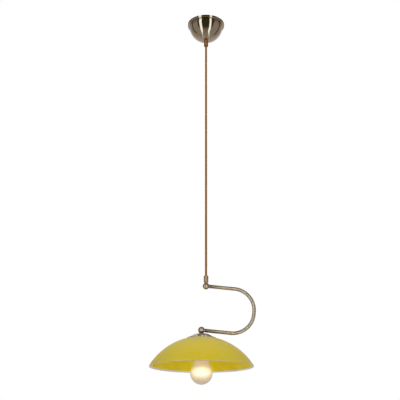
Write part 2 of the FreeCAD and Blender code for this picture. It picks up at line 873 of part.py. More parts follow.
def gallery():
    seat = glass_radius + slip + gasket_thickness + slip
    inner = [(stud_radius + slip, gallery_top - gallery_sheet)]
    levels = []
    for sheet in (0, gallery_sheet):
        shoulder = (gallery_shoulder_radius, gallery_top - gallery_shoulder_drop - sheet)
        under = seat + gallery_sheet - sheet
        flare = [(r, on_sphere(under, r)) for r in (gallery_seat_radius, gallery_radius)]
        levels.append((shoulder, *flare))
    (top_shoulder, top_seat, top_edge), (low_shoulder, low_seat, low_edge) = levels
    top_flat = (gallery_flat_radius, gallery_top)
    low_flat = (gallery_flat_radius, gallery_top - gallery_sheet)
    bend = 0.35 * gallery_shoulder_drop
    middle = (gallery_flat_radius + gallery_shoulder_radius) / 2
    pole = (0, glass_centre)
    return turned(outline(
        inner[0],
        low_flat,
        (middle, gallery_top - gallery_sheet - bend, *low_shoulder),
        low_seat,
        bulge(pole, low_seat, low_edge),
        top_edge,
        bulge(pole, top_edge, top_seat),
        top_shoulder,
        (middle, gallery_top - bend, *top_flat),
        (stud_radius + slip, gallery_top),
    ), lamp_x)


def glass_gasket():
    low = glass_radius + slip
    high = low + gasket_thickness
    inner = gallery_seat_radius
    outer = gallery_radius
    pole = (0, glass_centre)
    return turned(outline(
        (inner, on_sphere(low, inner)),
        bulge(pole, (inner, on_sphere(low, inner)), (outer, on_sphere(low, outer))),
        (outer, on_sphere(high, outer)),
        bulge(pole, (outer, on_sphere(high, outer)), (inner, on_sphere(high, inner))),
    ), lamp_x)


def glass_shade():
    """Cap of a hollow sphere, open at the bottom, with a rounded rim and a hole on top."""
    inner = glass_radius - glass_wall
    pole = (0, glass_centre)
    hole_out = (glass_hole_radius, on_sphere(glass_radius, glass_hole_radius))
    hole_in = (glass_hole_radius, on_sphere(inner, glass_hole_radius))
    rim_out = (glass_rim_radius, on_sphere(glass_radius, glass_rim_radius))
    scale = inner / glass_radius
    rim_in = (glass_rim_radius * scale, glass_centre + (rim_out[1] - glass_centre) * scale)
    slope = math.atan2(rim_out[1] - glass_centre, glass_rim_radius)
    middle = ((rim_out[0] + rim_in[0]) / 2, (rim_out[1] + rim_in[1]) / 2)
    swell = glass_wall / 3
    rim_low = (middle[0] + swell * math.sin(slope), middle[1] - swell * math.cos(slope))
    return turned(outline(
        hole_in,
        bulge(pole, hole_in, rim_in),
        (*rim_low, *rim_out),
        bulge(pole, rim_out, hole_out),
    ), lamp_x)


def holder_cap():
    top = holder_top
    bottom = top - holder_cap_height
    out = holder_radius
    soft = out - holder_cap_flat
    centre = (holder_cap_flat, top - soft)
    wall = holder_wall
    return turned(outline(
        (stud_radius + slip, top - stud_grip),
        (stud_radius + 3, top - stud_grip),
        (stud_radius + 3, top - wall),
        (holder_cap_flat, top - wall),
        bulge(centre, (holder_cap_flat, top - wall), (out - wall, top - soft)),
        (out - wall, bottom),
        (out, bottom),
        (out, top - soft),
        bulge(centre, (out, top - soft), (holder_cap_flat, top)),
        (stud_radius + slip, top),
    ), lamp_x)


def holder_skirt():
    """Threaded barrel under the cap, with a lip that the contact carrier rests against."""
    top = holder_top - holder_cap_height
    bottom = holder_top - holder_length
    inner = holder_radius - holder_wall
    edge = holder_wall / 2
    soft = holder_radius - edge
    return turned(outline(
        (inner, bottom),
        (soft, bottom),
        bulge((soft, bottom + edge), (soft, bottom), (holder_radius, bottom + edge)),
        (holder_radius, top),
        (inner, top),
    ), lamp_x)


def contact_carrier():
    top = holder_top - holder_cap_height
    bottom = top - carrier_height
    body = post(holder_radius - holder_wall - slip, bottom, top)
    recess = post(shell_radius - shell_sheet, bottom, bottom + carrier_height / 3)
    wires = [post(wire_bore, bottom, top, side * carrier_bore) for side in (-1, 1)]
    body = body.cut([recess] + wires)
    return at(body, V(lamp_x, 0, 0))


def centre_contact():
    """Sprung leaf under the carrier that meets the bulb's contact."""
    high = holder_top - holder_cap_height - carrier_height * 2 / 3
    low = contact_top + air
    half = 2.5
    strip = 0.6
    leaf = outline(
        (-carrier_bore, high),
        (carrier_bore / 2, high),
        (carrier_bore / 2, high - strip),
        (-carrier_bore + 2 * strip, high - strip),
        (0, low + strip),
        (bulb_contact_radius, low + strip),
        (bulb_contact_radius, low),
        (-strip, low),
    )
    leaf = leaf.extrude(V(0, 2 * half, 0))
    leaf.translate(V(lamp_x, -half, 0))
    return leaf


def screw_shell():
    top = holder_top - holder_cap_height - carrier_height
    bottom = top - shell_length
    outer = shell_radius + shell_sheet
    collar = post(holder_radius - holder_wall - 2 * slip, top - shell_sheet, top)
    body = post(outer, bottom, top).fuse(collar).removeSplitter().cut(post(shell_radius, bottom, top))
    return at(body, V(lamp_x, 0, 0))


def shade_ring():
    """Ring nut that holds the glass up against the gallery, with notches for the fingers."""
    seat = glass_radius - glass_wall - air
    bore = holder_radius + slip
    out = ring_nut_radius
    pole = (0, glass_centre)
    low = on_sphere(seat, out) - ring_nut_height
    lip = 2.0
    ring = turned(outline(
        (bore, low),
        (out - lip, low),
        (out, low + lip),
        (out, on_sphere(seat, out)),
        bulge(pole, (out, on_sphere(seat, out)), (bore, on_sphere(seat, bore))),
    ))
    for k in range(ring_nut_notches):
        turn = 2 * math.pi * k / ring_nut_notches
        reach = out + ring_nut_notch / 3
        x = reach * math.cos(turn)
        y = reach * math.sin(turn)
        ring = ring.cut(post(ring_nut_notch, low, low + ring_nut_height * 0.7, x, y))
    return at(ring, V(lamp_x, 0, 0))


# ---- bulb

def bulb_profile(inset):
    """Neck radius, the point where the waist meets the ball, and the waist's centre."""
    angle = math.radians(bulb_waist_angle)
    reach = bulb_radius + bulb_waist_radius
    waist = (reach * math.cos(angle), bulb_centre + reach * math.sin(angle))
    ball = bulb_radius - inset
    join = (ball * math.cos(angle), bulb_centre + ball * math.sin(angle))
    waist_radius = bulb_waist_radius + inset
    neck = waist[0] - math.sqrt(waist_radius**2 - (bulb_neck - waist[1]) ** 2)
    return waist, join, (neck, bulb_neck)


def bulb_glass():
    waist, join, neck = bulb_profile(0)
    _, inner_join, inner_neck = bulb_profile(bulb_wall)
    middle = (0, bulb_centre)
    side = (bulb_radius, bulb_centre)
    inner_side = (bulb_radius - bulb_wall, bulb_centre)
    return turned(outline(
        inner_neck,
        neck,
        bulge(waist, neck, join),
        bulge(middle, join, side),
        bulge(middle, side, (0, bulb_tip)),
        (0, bulb_tip + bulb_wall),
        bulge(middle, (0, bulb_tip + bulb_wall), inner_side),
        bulge(middle, inner_side, inner_join),
        bulge(waist, inner_join, inner_neck),
    ), lamp_x)


def bulb_cap():
    """Screw cap with rounded ribs, solid inside."""
    top = contact_top - bulb_contact_height - bulb_insulator_height
    root = bulb_cap_radius - bulb_cap_groove
    level = bulb_neck + bulb_cap_length - bulb_contact_height - bulb_insulator_height
    steps = [(0, top), (bulb_insulator_radius, top), (root, level - bulb_cap_pitch / 2)]
    level -= bulb_cap_pitch / 2
    for _ in range(bulb_cap_ribs):
        low = level - bulb_cap_pitch * 0.6
        steps.append((bulb_cap_radius, (level + low) / 2, root, low))
        level = low - bulb_cap_pitch * 0.4
        steps.append((root, level))
    steps += [(bulb_cap_radius, bulb_neck), (0, bulb_neck)]
    return turned(outline(*steps), lamp_x)


def bulb_insulator():
    low = contact_top - bulb_contact_height - bulb_insulator_height
    high = contact_top - bulb_contact_height
    return turned(outline(
        (0, low),
        (bulb_insulator_radius, low),
        (bulb_contact_radius, high),
        (0, high),
    ), lamp_x)


def bulb_contact():
    low = contact_top - bulb_contact_height
    return at(post(bulb_contact_radius - slip, low, contact_top), V(lamp_x, 0, 0))


# ---- everything

def build():
    upper_front, upper_back = upper_knuckle()
    lower_front, lower_back = lower_knuckle()
    winding = winding_route()
    lead = arm_route(tube_start + spigot_length)
    wound = swept(winding, cable_radius)
    lead_tube = swept(lead, lead_radius)
    report_route("reel_winding", winding, cable_radius, wound)
    report_least_gap("reel_winding", winding, cable_radius, 2 * math.pi * winding_radius)
    report_route("arm_lead", lead, lead_radius, lead_tube)
    spacer_top = -cradle_depth
    locknut = spacer_top + cradle_sheet
    return {
        "ceiling_bracket": ceiling_bracket(),
        "reel_cradle": cradle(),
        "cradle_screws": cradle_screws(),
        "ceiling_cup": ceiling_cup(),
        "cup_nipple": cup_nipple(),
        "nipple_locknut": nut_on_nipple(hex_across, locknut, locknut + nipple_nut_height),
        "cup_spacer_nut": nut_on_nipple(spacer_across, cup_floor + cup_sheet, spacer_top),
        "terminal_block": terminal_block(),
        "terminal_screws": terminal_screws(),
        "reel_axle": reel_axle(),
        "axle_clip": axle_clip(),
        "brush_holder": brush_holder(),
        "brushes": brushes(),
        "cable_nozzle": cable_nozzle(),
        "nozzle_liner": nozzle_liner(),
        "reel_drum": reel_drum(),
        "spring_cover": spring_cover(),
        "reel_spring": reel_spring(),
        "slip_rings": slip_rings(),
        "reel_winding": wound,
        "suspension_cable": post(cable_radius, sleeve_top, nozzle_end),
        "cable_tail": post(cable_radius, sleeve_top - tail_length, sleeve_top),
        "cable_sleeve": cable_sleeve(),
        "grip_insert": grip_insert(),
        "grip_screw": grip_screw(),
        "swivel_nut": swivel_nut(),
        "upper_knuckle_back": upper_back,
        "upper_knuckle_front": upper_front,
        "upper_pivot_screw": at(pivot_screw(), upper_ball),
        "upper_pivot_washer": at(pivot_washer_ring(), upper_ball),
        "arm_tube": arm_tube(),
        "arm_lead": lead_tube,
        "lower_knuckle_front": lower_front,
        "lower_pivot_screw": at(pivot_screw(), lower_ball),
        "lower_pivot_washer": at(pivot_washer_ring(), lower_ball),
        "lower_knuckle_back": lower_back,
        "gallery_cap": gallery(),
        "glass_gasket": glass_gasket(),
        "glass_shade": glass_shade(),
        "holder_cap": holder_cap(),
        "holder_skirt": holder_skirt(),
        "contact_carrier": contact_carrier(),
        "centre_contact": centre_contact(),
        "screw_shell": screw_shell(),
        "shade_ring": shade_ring(),
        "bulb_glass": bulb_glass(),
        "bulb_cap": bulb_cap(),
        "bulb_insulator": bulb_insulator(),
        "bulb_contact": bulb_contact(),
    }


os.makedirs("parts", exist_ok=True)
for name, shape in build().items():
    shape.exportStep(os.path.join("parts", name + ".step"))
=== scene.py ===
import json
import math

import bmesh
import bpy
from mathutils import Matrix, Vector


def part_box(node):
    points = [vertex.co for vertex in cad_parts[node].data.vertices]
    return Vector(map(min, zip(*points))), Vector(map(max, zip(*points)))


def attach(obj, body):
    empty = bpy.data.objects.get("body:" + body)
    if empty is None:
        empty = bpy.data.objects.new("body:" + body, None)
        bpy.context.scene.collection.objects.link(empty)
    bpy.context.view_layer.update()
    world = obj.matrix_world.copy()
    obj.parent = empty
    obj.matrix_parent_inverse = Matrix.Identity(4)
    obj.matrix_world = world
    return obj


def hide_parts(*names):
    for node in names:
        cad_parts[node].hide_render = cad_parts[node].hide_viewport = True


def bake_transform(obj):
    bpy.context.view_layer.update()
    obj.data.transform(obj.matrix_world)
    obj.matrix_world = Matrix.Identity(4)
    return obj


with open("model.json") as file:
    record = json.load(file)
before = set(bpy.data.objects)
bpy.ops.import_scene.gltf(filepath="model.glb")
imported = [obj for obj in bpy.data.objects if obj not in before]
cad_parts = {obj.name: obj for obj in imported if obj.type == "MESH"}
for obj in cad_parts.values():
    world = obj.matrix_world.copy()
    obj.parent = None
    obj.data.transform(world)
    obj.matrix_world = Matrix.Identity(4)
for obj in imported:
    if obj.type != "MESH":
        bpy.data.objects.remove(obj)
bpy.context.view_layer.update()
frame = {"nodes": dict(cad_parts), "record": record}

# The lamp is drawn in millimetres in the CAD frame and scaled to metres as each mesh is made.
# X runs along the arm's straight limbs, Y away from the camera, Z up, with the ceiling at 0.
mm = 0.001
sharpAngle = math.radians(35)  # steeper edges than this stay crisp


def nodeBox(name):
    low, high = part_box(name)
    return low / mm, high / mm


lampX = sum(corner.x for corner in nodeBox("gallery_cap")) / 2
galleryTop = nodeBox("gallery_cap")[1].z


# Short ways to add and link nodes, in shaders and in geometry trees.
def feed(tree, value, socket):
    if isinstance(value, bpy.types.NodeSocket):
        tree.links.new(value, socket)
    else:
        socket.default_value = value


def addNode(tree, kind, inputs=None, **fields):
    node = tree.nodes.new(kind)
    for field, value in fields.items():
        setattr(node, field, value)
    for label, value in (inputs or {}).items():
        feed(tree, value, node.inputs[label])
    return node


def calc(tree, operation, *values):
    node = addNode(tree, "ShaderNodeMath", operation=operation)
    for value, socket in zip(values, node.inputs):
        feed(tree, value, socket)
    return node.outputs[0]


def vectorCalc(tree, operation, *values, output=0):
    node = addNode(tree, "ShaderNodeVectorMath", operation=operation)
    for value, socket in zip(values, node.inputs):
        feed(tree, value, socket)
    return node.outputs[output]


def scaled(tree, vector, factor):
    return addNode(tree, "ShaderNodeVectorMath", {0: vector, "Scale": factor}, operation="SCALE").outputs[0]


def joinXyz(tree, x, y, z):
    return addNode(tree, "ShaderNodeCombineXYZ", {"X": x, "Y": y, "Z": z}).outputs[0]


def splitXyz(tree, vector):
    return addNode(tree, "ShaderNodeSeparateXYZ", {"Vector": vector}).outputs


def remap(tree, value, low, high, newLow=0.0, newHigh=1.0, smooth=False):
    kind = "SMOOTHSTEP" if smooth else "LINEAR"
    inputs = {"Value": value, "From Min": low, "From Max": high, "To Min": newLow, "To Max": newHigh}
    return addNode(tree, "ShaderNodeMapRange", inputs, interpolation_type=kind).outputs["Result"]


def noise(tree, vector, scale, detail=2.0, roughness=0.5):
    inputs = {"Vector": vector, "Scale": scale, "Detail": detail, "Roughness": roughness}
    return addNode(tree, "ShaderNodeTexNoise", inputs).outputs[0]


def opaque(colour):
    return (*colour, 1.0) if isinstance(colour, tuple) else colour


def blendColour(tree, factor, first, second, blend="MIX"):
    inputs = {0: factor, 6: opaque(first), 7: opaque(second)}
    node = addNode(tree, "ShaderNodeMix", data_type="RGBA", clamp_factor=True, blend_type=blend)
    for index, value in inputs.items():
        feed(tree, value, node.inputs[index])
    return node.outputs[2]


def newGroup(name, kind, inputs, outputs):
    group = bpy.data.node_groups.new(name, kind)
    addSocket = group.interface.new_socket
    for label, kindName, value in inputs:
        socket = addSocket(name=label, in_out="INPUT", socket_type="NodeSocket" + kindName)
        if value is not None:
            socket.default_value = value
    for label, kindName in outputs:
        addSocket(name=label, in_out="OUTPUT", socket_type="NodeSocket" + kindName)
    return group, group.nodes.new("NodeGroupInput").outputs, group.nodes.new("NodeGroupOutput").inputs


def placeGroup(tree, group, inputs):
    node = tree.nodes.new("ShaderNodeGroup")
    node.node_tree = group
    for label, value in inputs.items():
        feed(tree, value, node.inputs[label])
    return node.outputs


# Surface effects that several finishes share.
def makeAxisCoords():
    group, given, made = newGroup(
        "axisCoords", "ShaderNodeTree",
        [("Vector", "Vector", None)],
        [("Round", "Vector"), ("Level", "Float"), ("Hoop", "Vector")])
    x, y, z = splitXyz(group, given["Vector"])
    flat = joinXyz(group, x, y, 0.0)
    group.links.new(vectorCalc(group, "NORMALIZE", flat), made["Round"])
    radius = vectorCalc(group, "LENGTH", flat, output=1)
    group.links.new(calc(group, "ADD", z, radius), made["Level"])
    hoop = joinXyz(group, calc(group, "MULTIPLY", y, -1.0), x, 0.0)
    group.links.new(vectorCalc(group, "NORMALIZE", hoop), made["Hoop"])
    return group


grainShape = {
    "across": 1.6, "detail": 3.0, "rough": 0.6, "cloudLevel": 40.0, "cloudScale": 2.2, "cloudDetail": 4.0}


def makeBrushedGrain():
    group, given, made = newGroup(
        "brushedGrain", "ShaderNodeTree",
        [("Round", "Vector", None), ("Level", "Float", 0.0), ("Lines", "Float", 1500.0)],
        [("Grain", "Float"), ("Blotch", "Float")])
    across, depth, _ = splitXyz(group, given["Round"])
    wide = [calc(group, "MULTIPLY", way, grainShape["across"]) for way in (across, depth)]
    spot = joinXyz(group, *wide, calc(group, "MULTIPLY", given["Level"], given["Lines"]))
    cloud = joinXyz(group, across, depth, calc(group, "MULTIPLY", given["Level"], grainShape["cloudLevel"]))
    grain = noise(group, spot, 1.0, grainShape["detail"], grainShape["rough"])
    blotch = noise(group, cloud, grainShape["cloudScale"], grainShape["cloudDetail"], grainShape["rough"])
    group.links.new(grain, made["Grain"])
    group.links.new(blotch, made["Blotch"])
    return group


wearShape = {
    "patches": (0.35, 0.7), "lines": (0.3, 0.75), "patchShare": 0.6, "lineShare": 0.4, "dulling": 0.08}


def makeAgedTone():
    group, given, made = newGroup(
        "agedTone", "ShaderNodeTree",
        [("Bright", "Color", None), ("Dark", "Color", None), ("Grain", "Float", 0.5),
         ("Blotch", "Float", 0.5), ("Ageing", "Float", 0.5), ("Sheen", "Float", 0.2)],
        [("Colour", "Color"), ("Roughness", "Float")])
    patches = remap(group, given["Blotch"], *wearShape["patches"], smooth=True)
    lines = remap(group, given["Grain"], *wearShape["lines"])
    worn = calc(group, "ADD", calc(group, "MULTIPLY", patches, wearShape["patchShare"]),
                calc(group, "MULTIPLY", lines, wearShape["lineShare"]))
    factor = calc(group, "MULTIPLY", worn, given["Ageing"])
    group.links.new(blendColour(group, factor, given["Bright"], given["Dark"]), made["Colour"])
    spread = calc(group, "MULTIPLY", worn, wearShape["dulling"])
    group.links.new(calc(group, "ADD", given["Sheen"], spread), made["Roughness"])
    return group


braidShape = {"plies": 5.0, "under": 0.5}
braidLay = {"Carriers": 8.0, "Lay": 0.020}


# Two sets of threads wind opposite ways, and each crosses over the other in turn.
def braidHeight(tree, across, depth, along, carriers, lay):
    turn = calc(tree, "DIVIDE", calc(tree, "ARCTAN2", depth, across), 2 * math.pi)
    run = calc(tree, "DIVIDE", along, lay)
    ways = [calc(tree, "MULTIPLY", calc(tree, side, run, turn), carriers) for side in ("ADD", "SUBTRACT")]
    halfTurns = [calc(tree, "MULTIPLY", way, math.pi) for way in ways]
    crests = [calc(tree, "ABSOLUTE", calc(tree, "SINE", turn)) for turn in halfTurns]
    steps = calc(tree, "ADD", calc(tree, "FLOOR", ways[0]), calc(tree, "FLOOR", ways[1]))
    over = calc(tree, "PINGPONG", steps, 1.0)
    shown = overUnder(tree, crests, over)
    hidden = calc(tree, "MULTIPLY", calc(tree, "MULTIPLY", *crests), braidShape["under"])
    return calc(tree, "MAXIMUM", shown, hidden), ways, over


def overUnder(tree, pair, over):
    return calc(tree, "ADD", calc(tree, "MULTIPLY", pair[0], over),
                calc(tree, "MULTIPLY", pair[1], calc(tree, "SUBTRACT", 1.0, over)))


def makeBraid():
    group, given, made = newGroup(
        "braid", "ShaderNodeTree",
        [("Round", "Vector", None), ("Along", "Float", 0.0), ("Carriers", "Float", 8.0),
         ("Lay", "Float", 0.018)],
        [("Height", "Float"), ("Thread", "Float")])
    across, depth, _ = splitXyz(group, given["Round"])
    height, ways, over = braidHeight(group, across, depth, given["Along"], given["Carriers"], given["Lay"])
    group.links.new(height, made["Height"])
    plies = [calc(group, "FRACT", calc(group, "MULTIPLY", way, braidShape["plies"]))
             for way in reversed(ways)]
    group.links.new(overUnder(group, plies, over), made["Thread"])
    return group


skinShape = {"detail": 3.0, "rough": 0.6, "toneScale": 70.0, "toneRough": 0.55}  # noise settings


def makeMouldedSkin():
    group, given, made = newGroup(
        "mouldedSkin", "ShaderNodeTree",
        [("Vector", "Vector", None), ("Scale", "Float", 900.0)],
        [("Height", "Float"), ("Tone", "Float")])
    vector, detail = given["Vector"], skinShape["detail"]
    height = noise(group, vector, given["Scale"], detail, skinShape["rough"])
    tone = noise(group, vector, skinShape["toneScale"], detail, skinShape["toneRough"])
    group.links.new(height, made["Height"])
    group.links.new(tone, made["Tone"])
    return group


# Scale, detail and roughness of each noise. The cloud's scale comes with the finish.
glassNoise = {"cloud": (4.0, 0.55), "speck": (700.0, 2.0, 0.5), "ripple": (25.0, 1.0, 0.4)}


def makeCloudyGlass():
    group, given, made = newGroup(
        "cloudyGlass", "ShaderNodeTree",
        [("Vector", "Vector", None), ("Scale", "Float", 60.0)],
        [("Cloud", "Float"), ("Speck", "Float"), ("Ripple", "Float")])
    group.links.new(noise(group, given["Vector"], given["Scale"], *glassNoise["cloud"]), made["Cloud"])
    group.links.new(noise(group, given["Vector"], *glassNoise["speck"]), made["Speck"])
    group.links.new(noise(group, given["Vector"], *glassNoise["ripple"]), made["Ripple"])
    return group


axisCoords = makeAxisCoords()
brushedGrain = makeBrushedGrain()
agedTone = makeAgedTone()
braid = makeBraid()
mouldedSkin = makeMouldedSkin()
cloudyGlass = makeCloudyGlass()
print("shared surface effects ready")


def newFinish(name, **constants):
    material = bpy.data.materials.new(name)
    material.use_nodes = True
    tree = material.node_tree
    shader = tree.nodes["Principled BSDF"]
    for label, value in constants.items():
        shader.inputs[label].default_value = value
    return material, tree, shader


def objectCoords(tree, centre=(0.0, 0.0, 0.0)):
    source = addNode(tree, "ShaderNodeTexCoord").outputs["Object"]
    shift = [-value * mm for value in centre]
    return addNode(tree, "ShaderNodeMapping", {"Vector": source, "Location": shift}).outputs[0]


def attribute(tree, name, output):
    return addNode(tree, "ShaderNodeAttribute", attribute_name=name).outputs[output]


def bump(tree, height, strength, distance, shader):
    node = addNode(tree, "ShaderNodeBump", {"Height": height, "Strength": strength, "Distance": distance})
    tree.links.new(node.outputs[0], shader.inputs["Normal"])


# Turned metal is brushed round the lamp's axis, and the tube's lines run along it.
metalSkin = {"coatRoughness": 0.12, "quarterTurn": 0.25, "brushDepth": 0.00003}


def metalFinish(name, bright, dark, ageing, sheen, centre=(0, 0, 0), onTube=False, stretch=0.35,
                lines=1500.0, coat=0.0, relief=0.03):
    material, tree, shader = newFinish(name, **{
        "Metallic": 1.0, "Anisotropic": stretch, "Coat Weight": coat,
        "Coat Roughness": metalSkin["coatRoughness"]})
    if onTube:
        roundWay = attribute(tree, "roundWay", "Vector")
        level = attribute(tree, "alongPath", "Fac")
        way = attribute(tree, "pathWay", "Vector")
    else:
        coords = placeGroup(tree, axisCoords, {"Vector": objectCoords(tree, centre)})
        roundWay, level, way = coords["Round"], coords["Level"], coords["Hoop"]
        shader.inputs["Anisotropic Rotation"].default_value = metalSkin["quarterTurn"]
    grain = placeGroup(tree, brushedGrain, {"Round": roundWay, "Level": level, "Lines": lines})
    tone = placeGroup(tree, agedTone, {
        "Bright": opaque(bright), "Dark": opaque(dark), "Grain": grain["Grain"],
        "Blotch": grain["Blotch"], "Ageing": ageing, "Sheen": sheen})
    tree.links.new(tone["Colour"], shader.inputs["Base Color"])
    tree.links.new(tone["Roughness"], shader.inputs["Roughness"])
    turned = addNode(tree, "ShaderNodeVectorTransform", {"Vector": way}, vector_type="VECTOR",
                     convert_from="OBJECT", convert_to="WORLD").outputs[0]
    tree.links.new(turned, shader.inputs["Tangent"])
    bump(tree, grain["Grain"], relief, metalSkin["brushDepth"], shader)
    return material


mouldSkin = {
    "tones": (0.35, 0.7), "heights": (0.3, 0.7), "smoother": 0.05, "rougher": 0.07, "relief": 0.0001}


def mouldedFinish(name, colour, shade, roughness, scale=900.0, strength=0.12, **constants):
    material, tree, shader = newFinish(name, **constants)
    skin = placeGroup(tree, mouldedSkin, {"Vector": objectCoords(tree), "Scale": scale})
    factor = remap(tree, skin["Tone"], *mouldSkin["tones"], smooth=True)
    tree.links.new(blendColour(tree, factor, colour, shade), shader.inputs["Base Color"])
    sheen = (roughness - mouldSkin["smoother"], roughness + mouldSkin["rougher"])
    tree.links.new(remap(tree, skin["Height"], *mouldSkin["heights"], *sheen), shader.inputs["Roughness"])
    bump(tree, skin["Height"], strength, mouldSkin["relief"], shader)
    return material


brassTone = {
    "bright": (0.48, 0.38, 0.275), "dark": (0.35, 0.265, 0.18), "ageing": 0.35, "sheen": 0.05, "coat": 0.08}
nozzleTone = dict(brassTone, bright=(0.44, 0.22, 0.09), dark=(0.34, 0.165, 0.06), sheen=0.40)
sleeveTone = dict(brassTone, bright=(0.49, 0.315, 0.17), dark=(0.375, 0.23, 0.12), sheen=0.30)
tubeTone = dict(brassTone, bright=(0.50, 0.385, 0.275), dark=(0.40, 0.30, 0.21), ageing=0.1, sheen=0.28)
bareTone = {"bright": (0.72, 0.56, 0.28), "dark": (0.50, 0.36, 0.16), "ageing": 0.4, "sheen": 0.25}
zincTone = {"bright": (0.62, 0.63, 0.64), "dark": (0.42, 0.42, 0.42), "ageing": 0.4, "sheen": 0.32}
springTone = {"bright": (0.26, 0.28, 0.34), "dark": (0.12, 0.13, 0.17), "ageing": 0.5, "sheen": 0.3}
alloyTone = {"bright": (0.74, 0.73, 0.71), "dark": (0.5, 0.49, 0.47), "ageing": 0.4, "sheen": 0.3}
solderTone = {"bright": (0.60, 0.60, 0.60), "dark": (0.38, 0.38, 0.38), "ageing": 0.6, "sheen": 0.4}
lampAxis = (lampX, 0, 0)

cupBrass = metalFinish("cupBrass", relief=0.01, **brassTone)
nozzleBrass = metalFinish("nozzleBrass", **nozzleTone)
sleeveBrass = metalFinish("sleeveBrass", **sleeveTone)
tubeBrass = metalFinish("tubeBrass", onTube=True, lines=40.0, relief=0.0, stretch=0.92, **tubeTone)
lampBrass = metalFinish("lampBrass", centre=lampAxis, relief=0.01, **brassTone)
bareBrass = metalFinish("bareBrass", stretch=0.3, **bareTone)
zincSteel = metalFinish("zincSteel", stretch=0.2, lines=900.0, **zincTone)
springSteel = metalFinish("springSteel", stretch=0.3, **springTone)
capAlloy = metalFinish("capAlloy", centre=lampAxis, stretch=0.3, **alloyTone)
solder = metalFinish("solder", centre=lampAxis, stretch=0.0, **solderTone)

whitePlastic = mouldedFinish("whitePlastic", (0.82, 0.81, 0.77), (0.76, 0.75, 0.70), 0.38)
blackPlastic = mouldedFinish("blackPlastic", (0.035, 0.035, 0.037), (0.055, 0.055, 0.055), 0.42)
linerPlastic = mouldedFinish("linerPlastic", (0.10, 0.06, 0.03), (0.075, 0.045, 0.022), 0.45)
porcelain = mouldedFinish("porcelain", (0.86, 0.85, 0.81), (0.80, 0.78, 0.73), 0.55, scale=500.0,
                          strength=0.2)
blackGlass = mouldedFinish("blackGlass", (0.02, 0.02, 0.022), (0.035, 0.03, 0.035), 0.12, scale=300.0)
leadSheath = mouldedFinish("leadSheath", (0.78, 0.76, 0.70), (0.70, 0.67, 0.60), 0.35)
clearRubber = mouldedFinish("clearRubber", (0.66, 0.66, 0.60), (0.58, 0.57, 0.50), 0.3, scale=400.0,
                            **{"Transmission Weight": 0.35})


def cableFinish():
    values = {"colour": (0.27, 0.125, 0.018), "groove": (0.12, 0.048, 0.006), "plyShade": 0.82,
              "crest": 0.7, "sheen": (0.62, 0.42), "threadShare": 0.15, "strength": 0.5, "relief": 0.00015}
    material, tree, shader = newFinish("braidedCable", **{
        "Sheen Weight": 0.02, "Sheen Roughness": 0.4, "Specular IOR Level": 0.14})
    pattern = placeGroup(tree, braid, {
        "Round": attribute(tree, "roundWay", "Vector"), "Along": attribute(tree, "alongPath", "Fac"),
        **braidLay})
    # Painted shade: the braid is darker in its grooves than on its crests, and each ply is darker towards
    # one edge.
    ply = remap(tree, pattern["Thread"], 0.0, 1.0, values["plyShade"], 1.0)
    lit = calc(tree, "MULTIPLY", remap(tree, pattern["Height"], 0.0, values["crest"], smooth=True), ply)
    tree.links.new(blendColour(tree, lit, values["groove"], values["colour"]), shader.inputs["Base Color"])
    tree.links.new(remap(tree, pattern["Height"], 0.0, 1.0, *values["sheen"]), shader.inputs["Roughness"])
    thread = calc(tree, "MULTIPLY", pattern["Thread"], values["threadShare"])
    bump(tree, calc(tree, "ADD", pattern["Height"], thread), values["strength"], values["relief"], shader)
    return material


def facing(tree, power):
    edge = addNode(tree, "ShaderNodeLayerWeight", {"Blend": 0.5}).outputs["Facing"]
    return calc(tree, "POWER", calc(tree, "SUBTRACT", 1.0, edge), power)


noiseRange = (0.3, 0.7)  # the part of a noise that carries its contrast
shadeSkin = {"scale": 55.0, "fall": (-0.085, -0.012), "specks": (0.45, 0.8), "spread": 0.06,
             "ripple": 0.0008, "strength": 0.15}


def glassFinish(name, values, **constants):
    material, tree, shader = newFinish(name, **constants)
    vector = objectCoords(tree, (lampX, 0, galleryTop))
    spots = placeGroup(tree, cloudyGlass, {"Vector": vector, "Scale": shadeSkin["scale"]})
    cloud = remap(tree, spots["Cloud"], *noiseRange, smooth=True)
    deep = blendColour(tree, cloud, values["deep"], values["deeper"])
    # Painted light: the glass turns from its deep yellow low down to the lighter, greyer top colour higher
    # up.
    fall = remap(tree, splitXyz(tree, vector)[2], *shadeSkin["fall"], smooth=True)
    topLitTint = blendColour(tree, fall, deep, values["top"])
    # Painted reflection: the colour turns paler towards the outline. The random specks below take the same
    # pale colour.
    edgeSheenTint = blendColour(tree, facing(tree, values["edgePower"]), values["edge"], topLitTint)
    speck = calc(tree, "MULTIPLY", remap(tree, spots["Speck"], *shadeSkin["specks"]), values["haze"])
    tree.links.new(blendColour(tree, speck, edgeSheenTint, values["edge"]), shader.inputs["Base Color"])
    sheen = (values["roughness"], values["roughness"] + shadeSkin["spread"])
    tree.links.new(remap(tree, spots["Speck"], *noiseRange, *sheen), shader.inputs["Roughness"])
    bump(tree, spots["Ripple"], shadeSkin["strength"], shadeSkin["ripple"], shader)
    return material


# The cut rim's colour is painted light: warm in front, and paler and cooler behind.
def edgeFinish():
    values = {"near": (0.50, 0.395, 0.19), "far": (0.72, 0.70, 0.74), "scale": 90.0, "depth": (-0.06, 0.06),
              "dull": 0.15, "sheen": (0.15, 0.24), "strength": 0.1, "ripple": 0.0005}
    material, tree, shader = newFinish("edgeGlass", **{"Specular IOR Level": 0.3})
    vector = objectCoords(tree, (lampX, 0, galleryTop))
    spots = placeGroup(tree, cloudyGlass, {"Vector": vector, "Scale": values["scale"]})
    depth = remap(tree, splitXyz(tree, vector)[1], *values["depth"], smooth=True)
    tone = blendColour(tree, depth, values["near"], values["far"])
    dull = calc(tree, "MULTIPLY", remap(tree, spots["Cloud"], *noiseRange), values["dull"])
    tree.links.new(blendColour(tree, dull, tone, values["near"]), shader.inputs["Base Color"])
    tree.links.new(remap(tree, spots["Speck"], *noiseRange, *values["sheen"]), shader.inputs["Roughness"])
    bump(tree, spots["Ripple"], values["strength"], values["ripple"], shader)
    return material


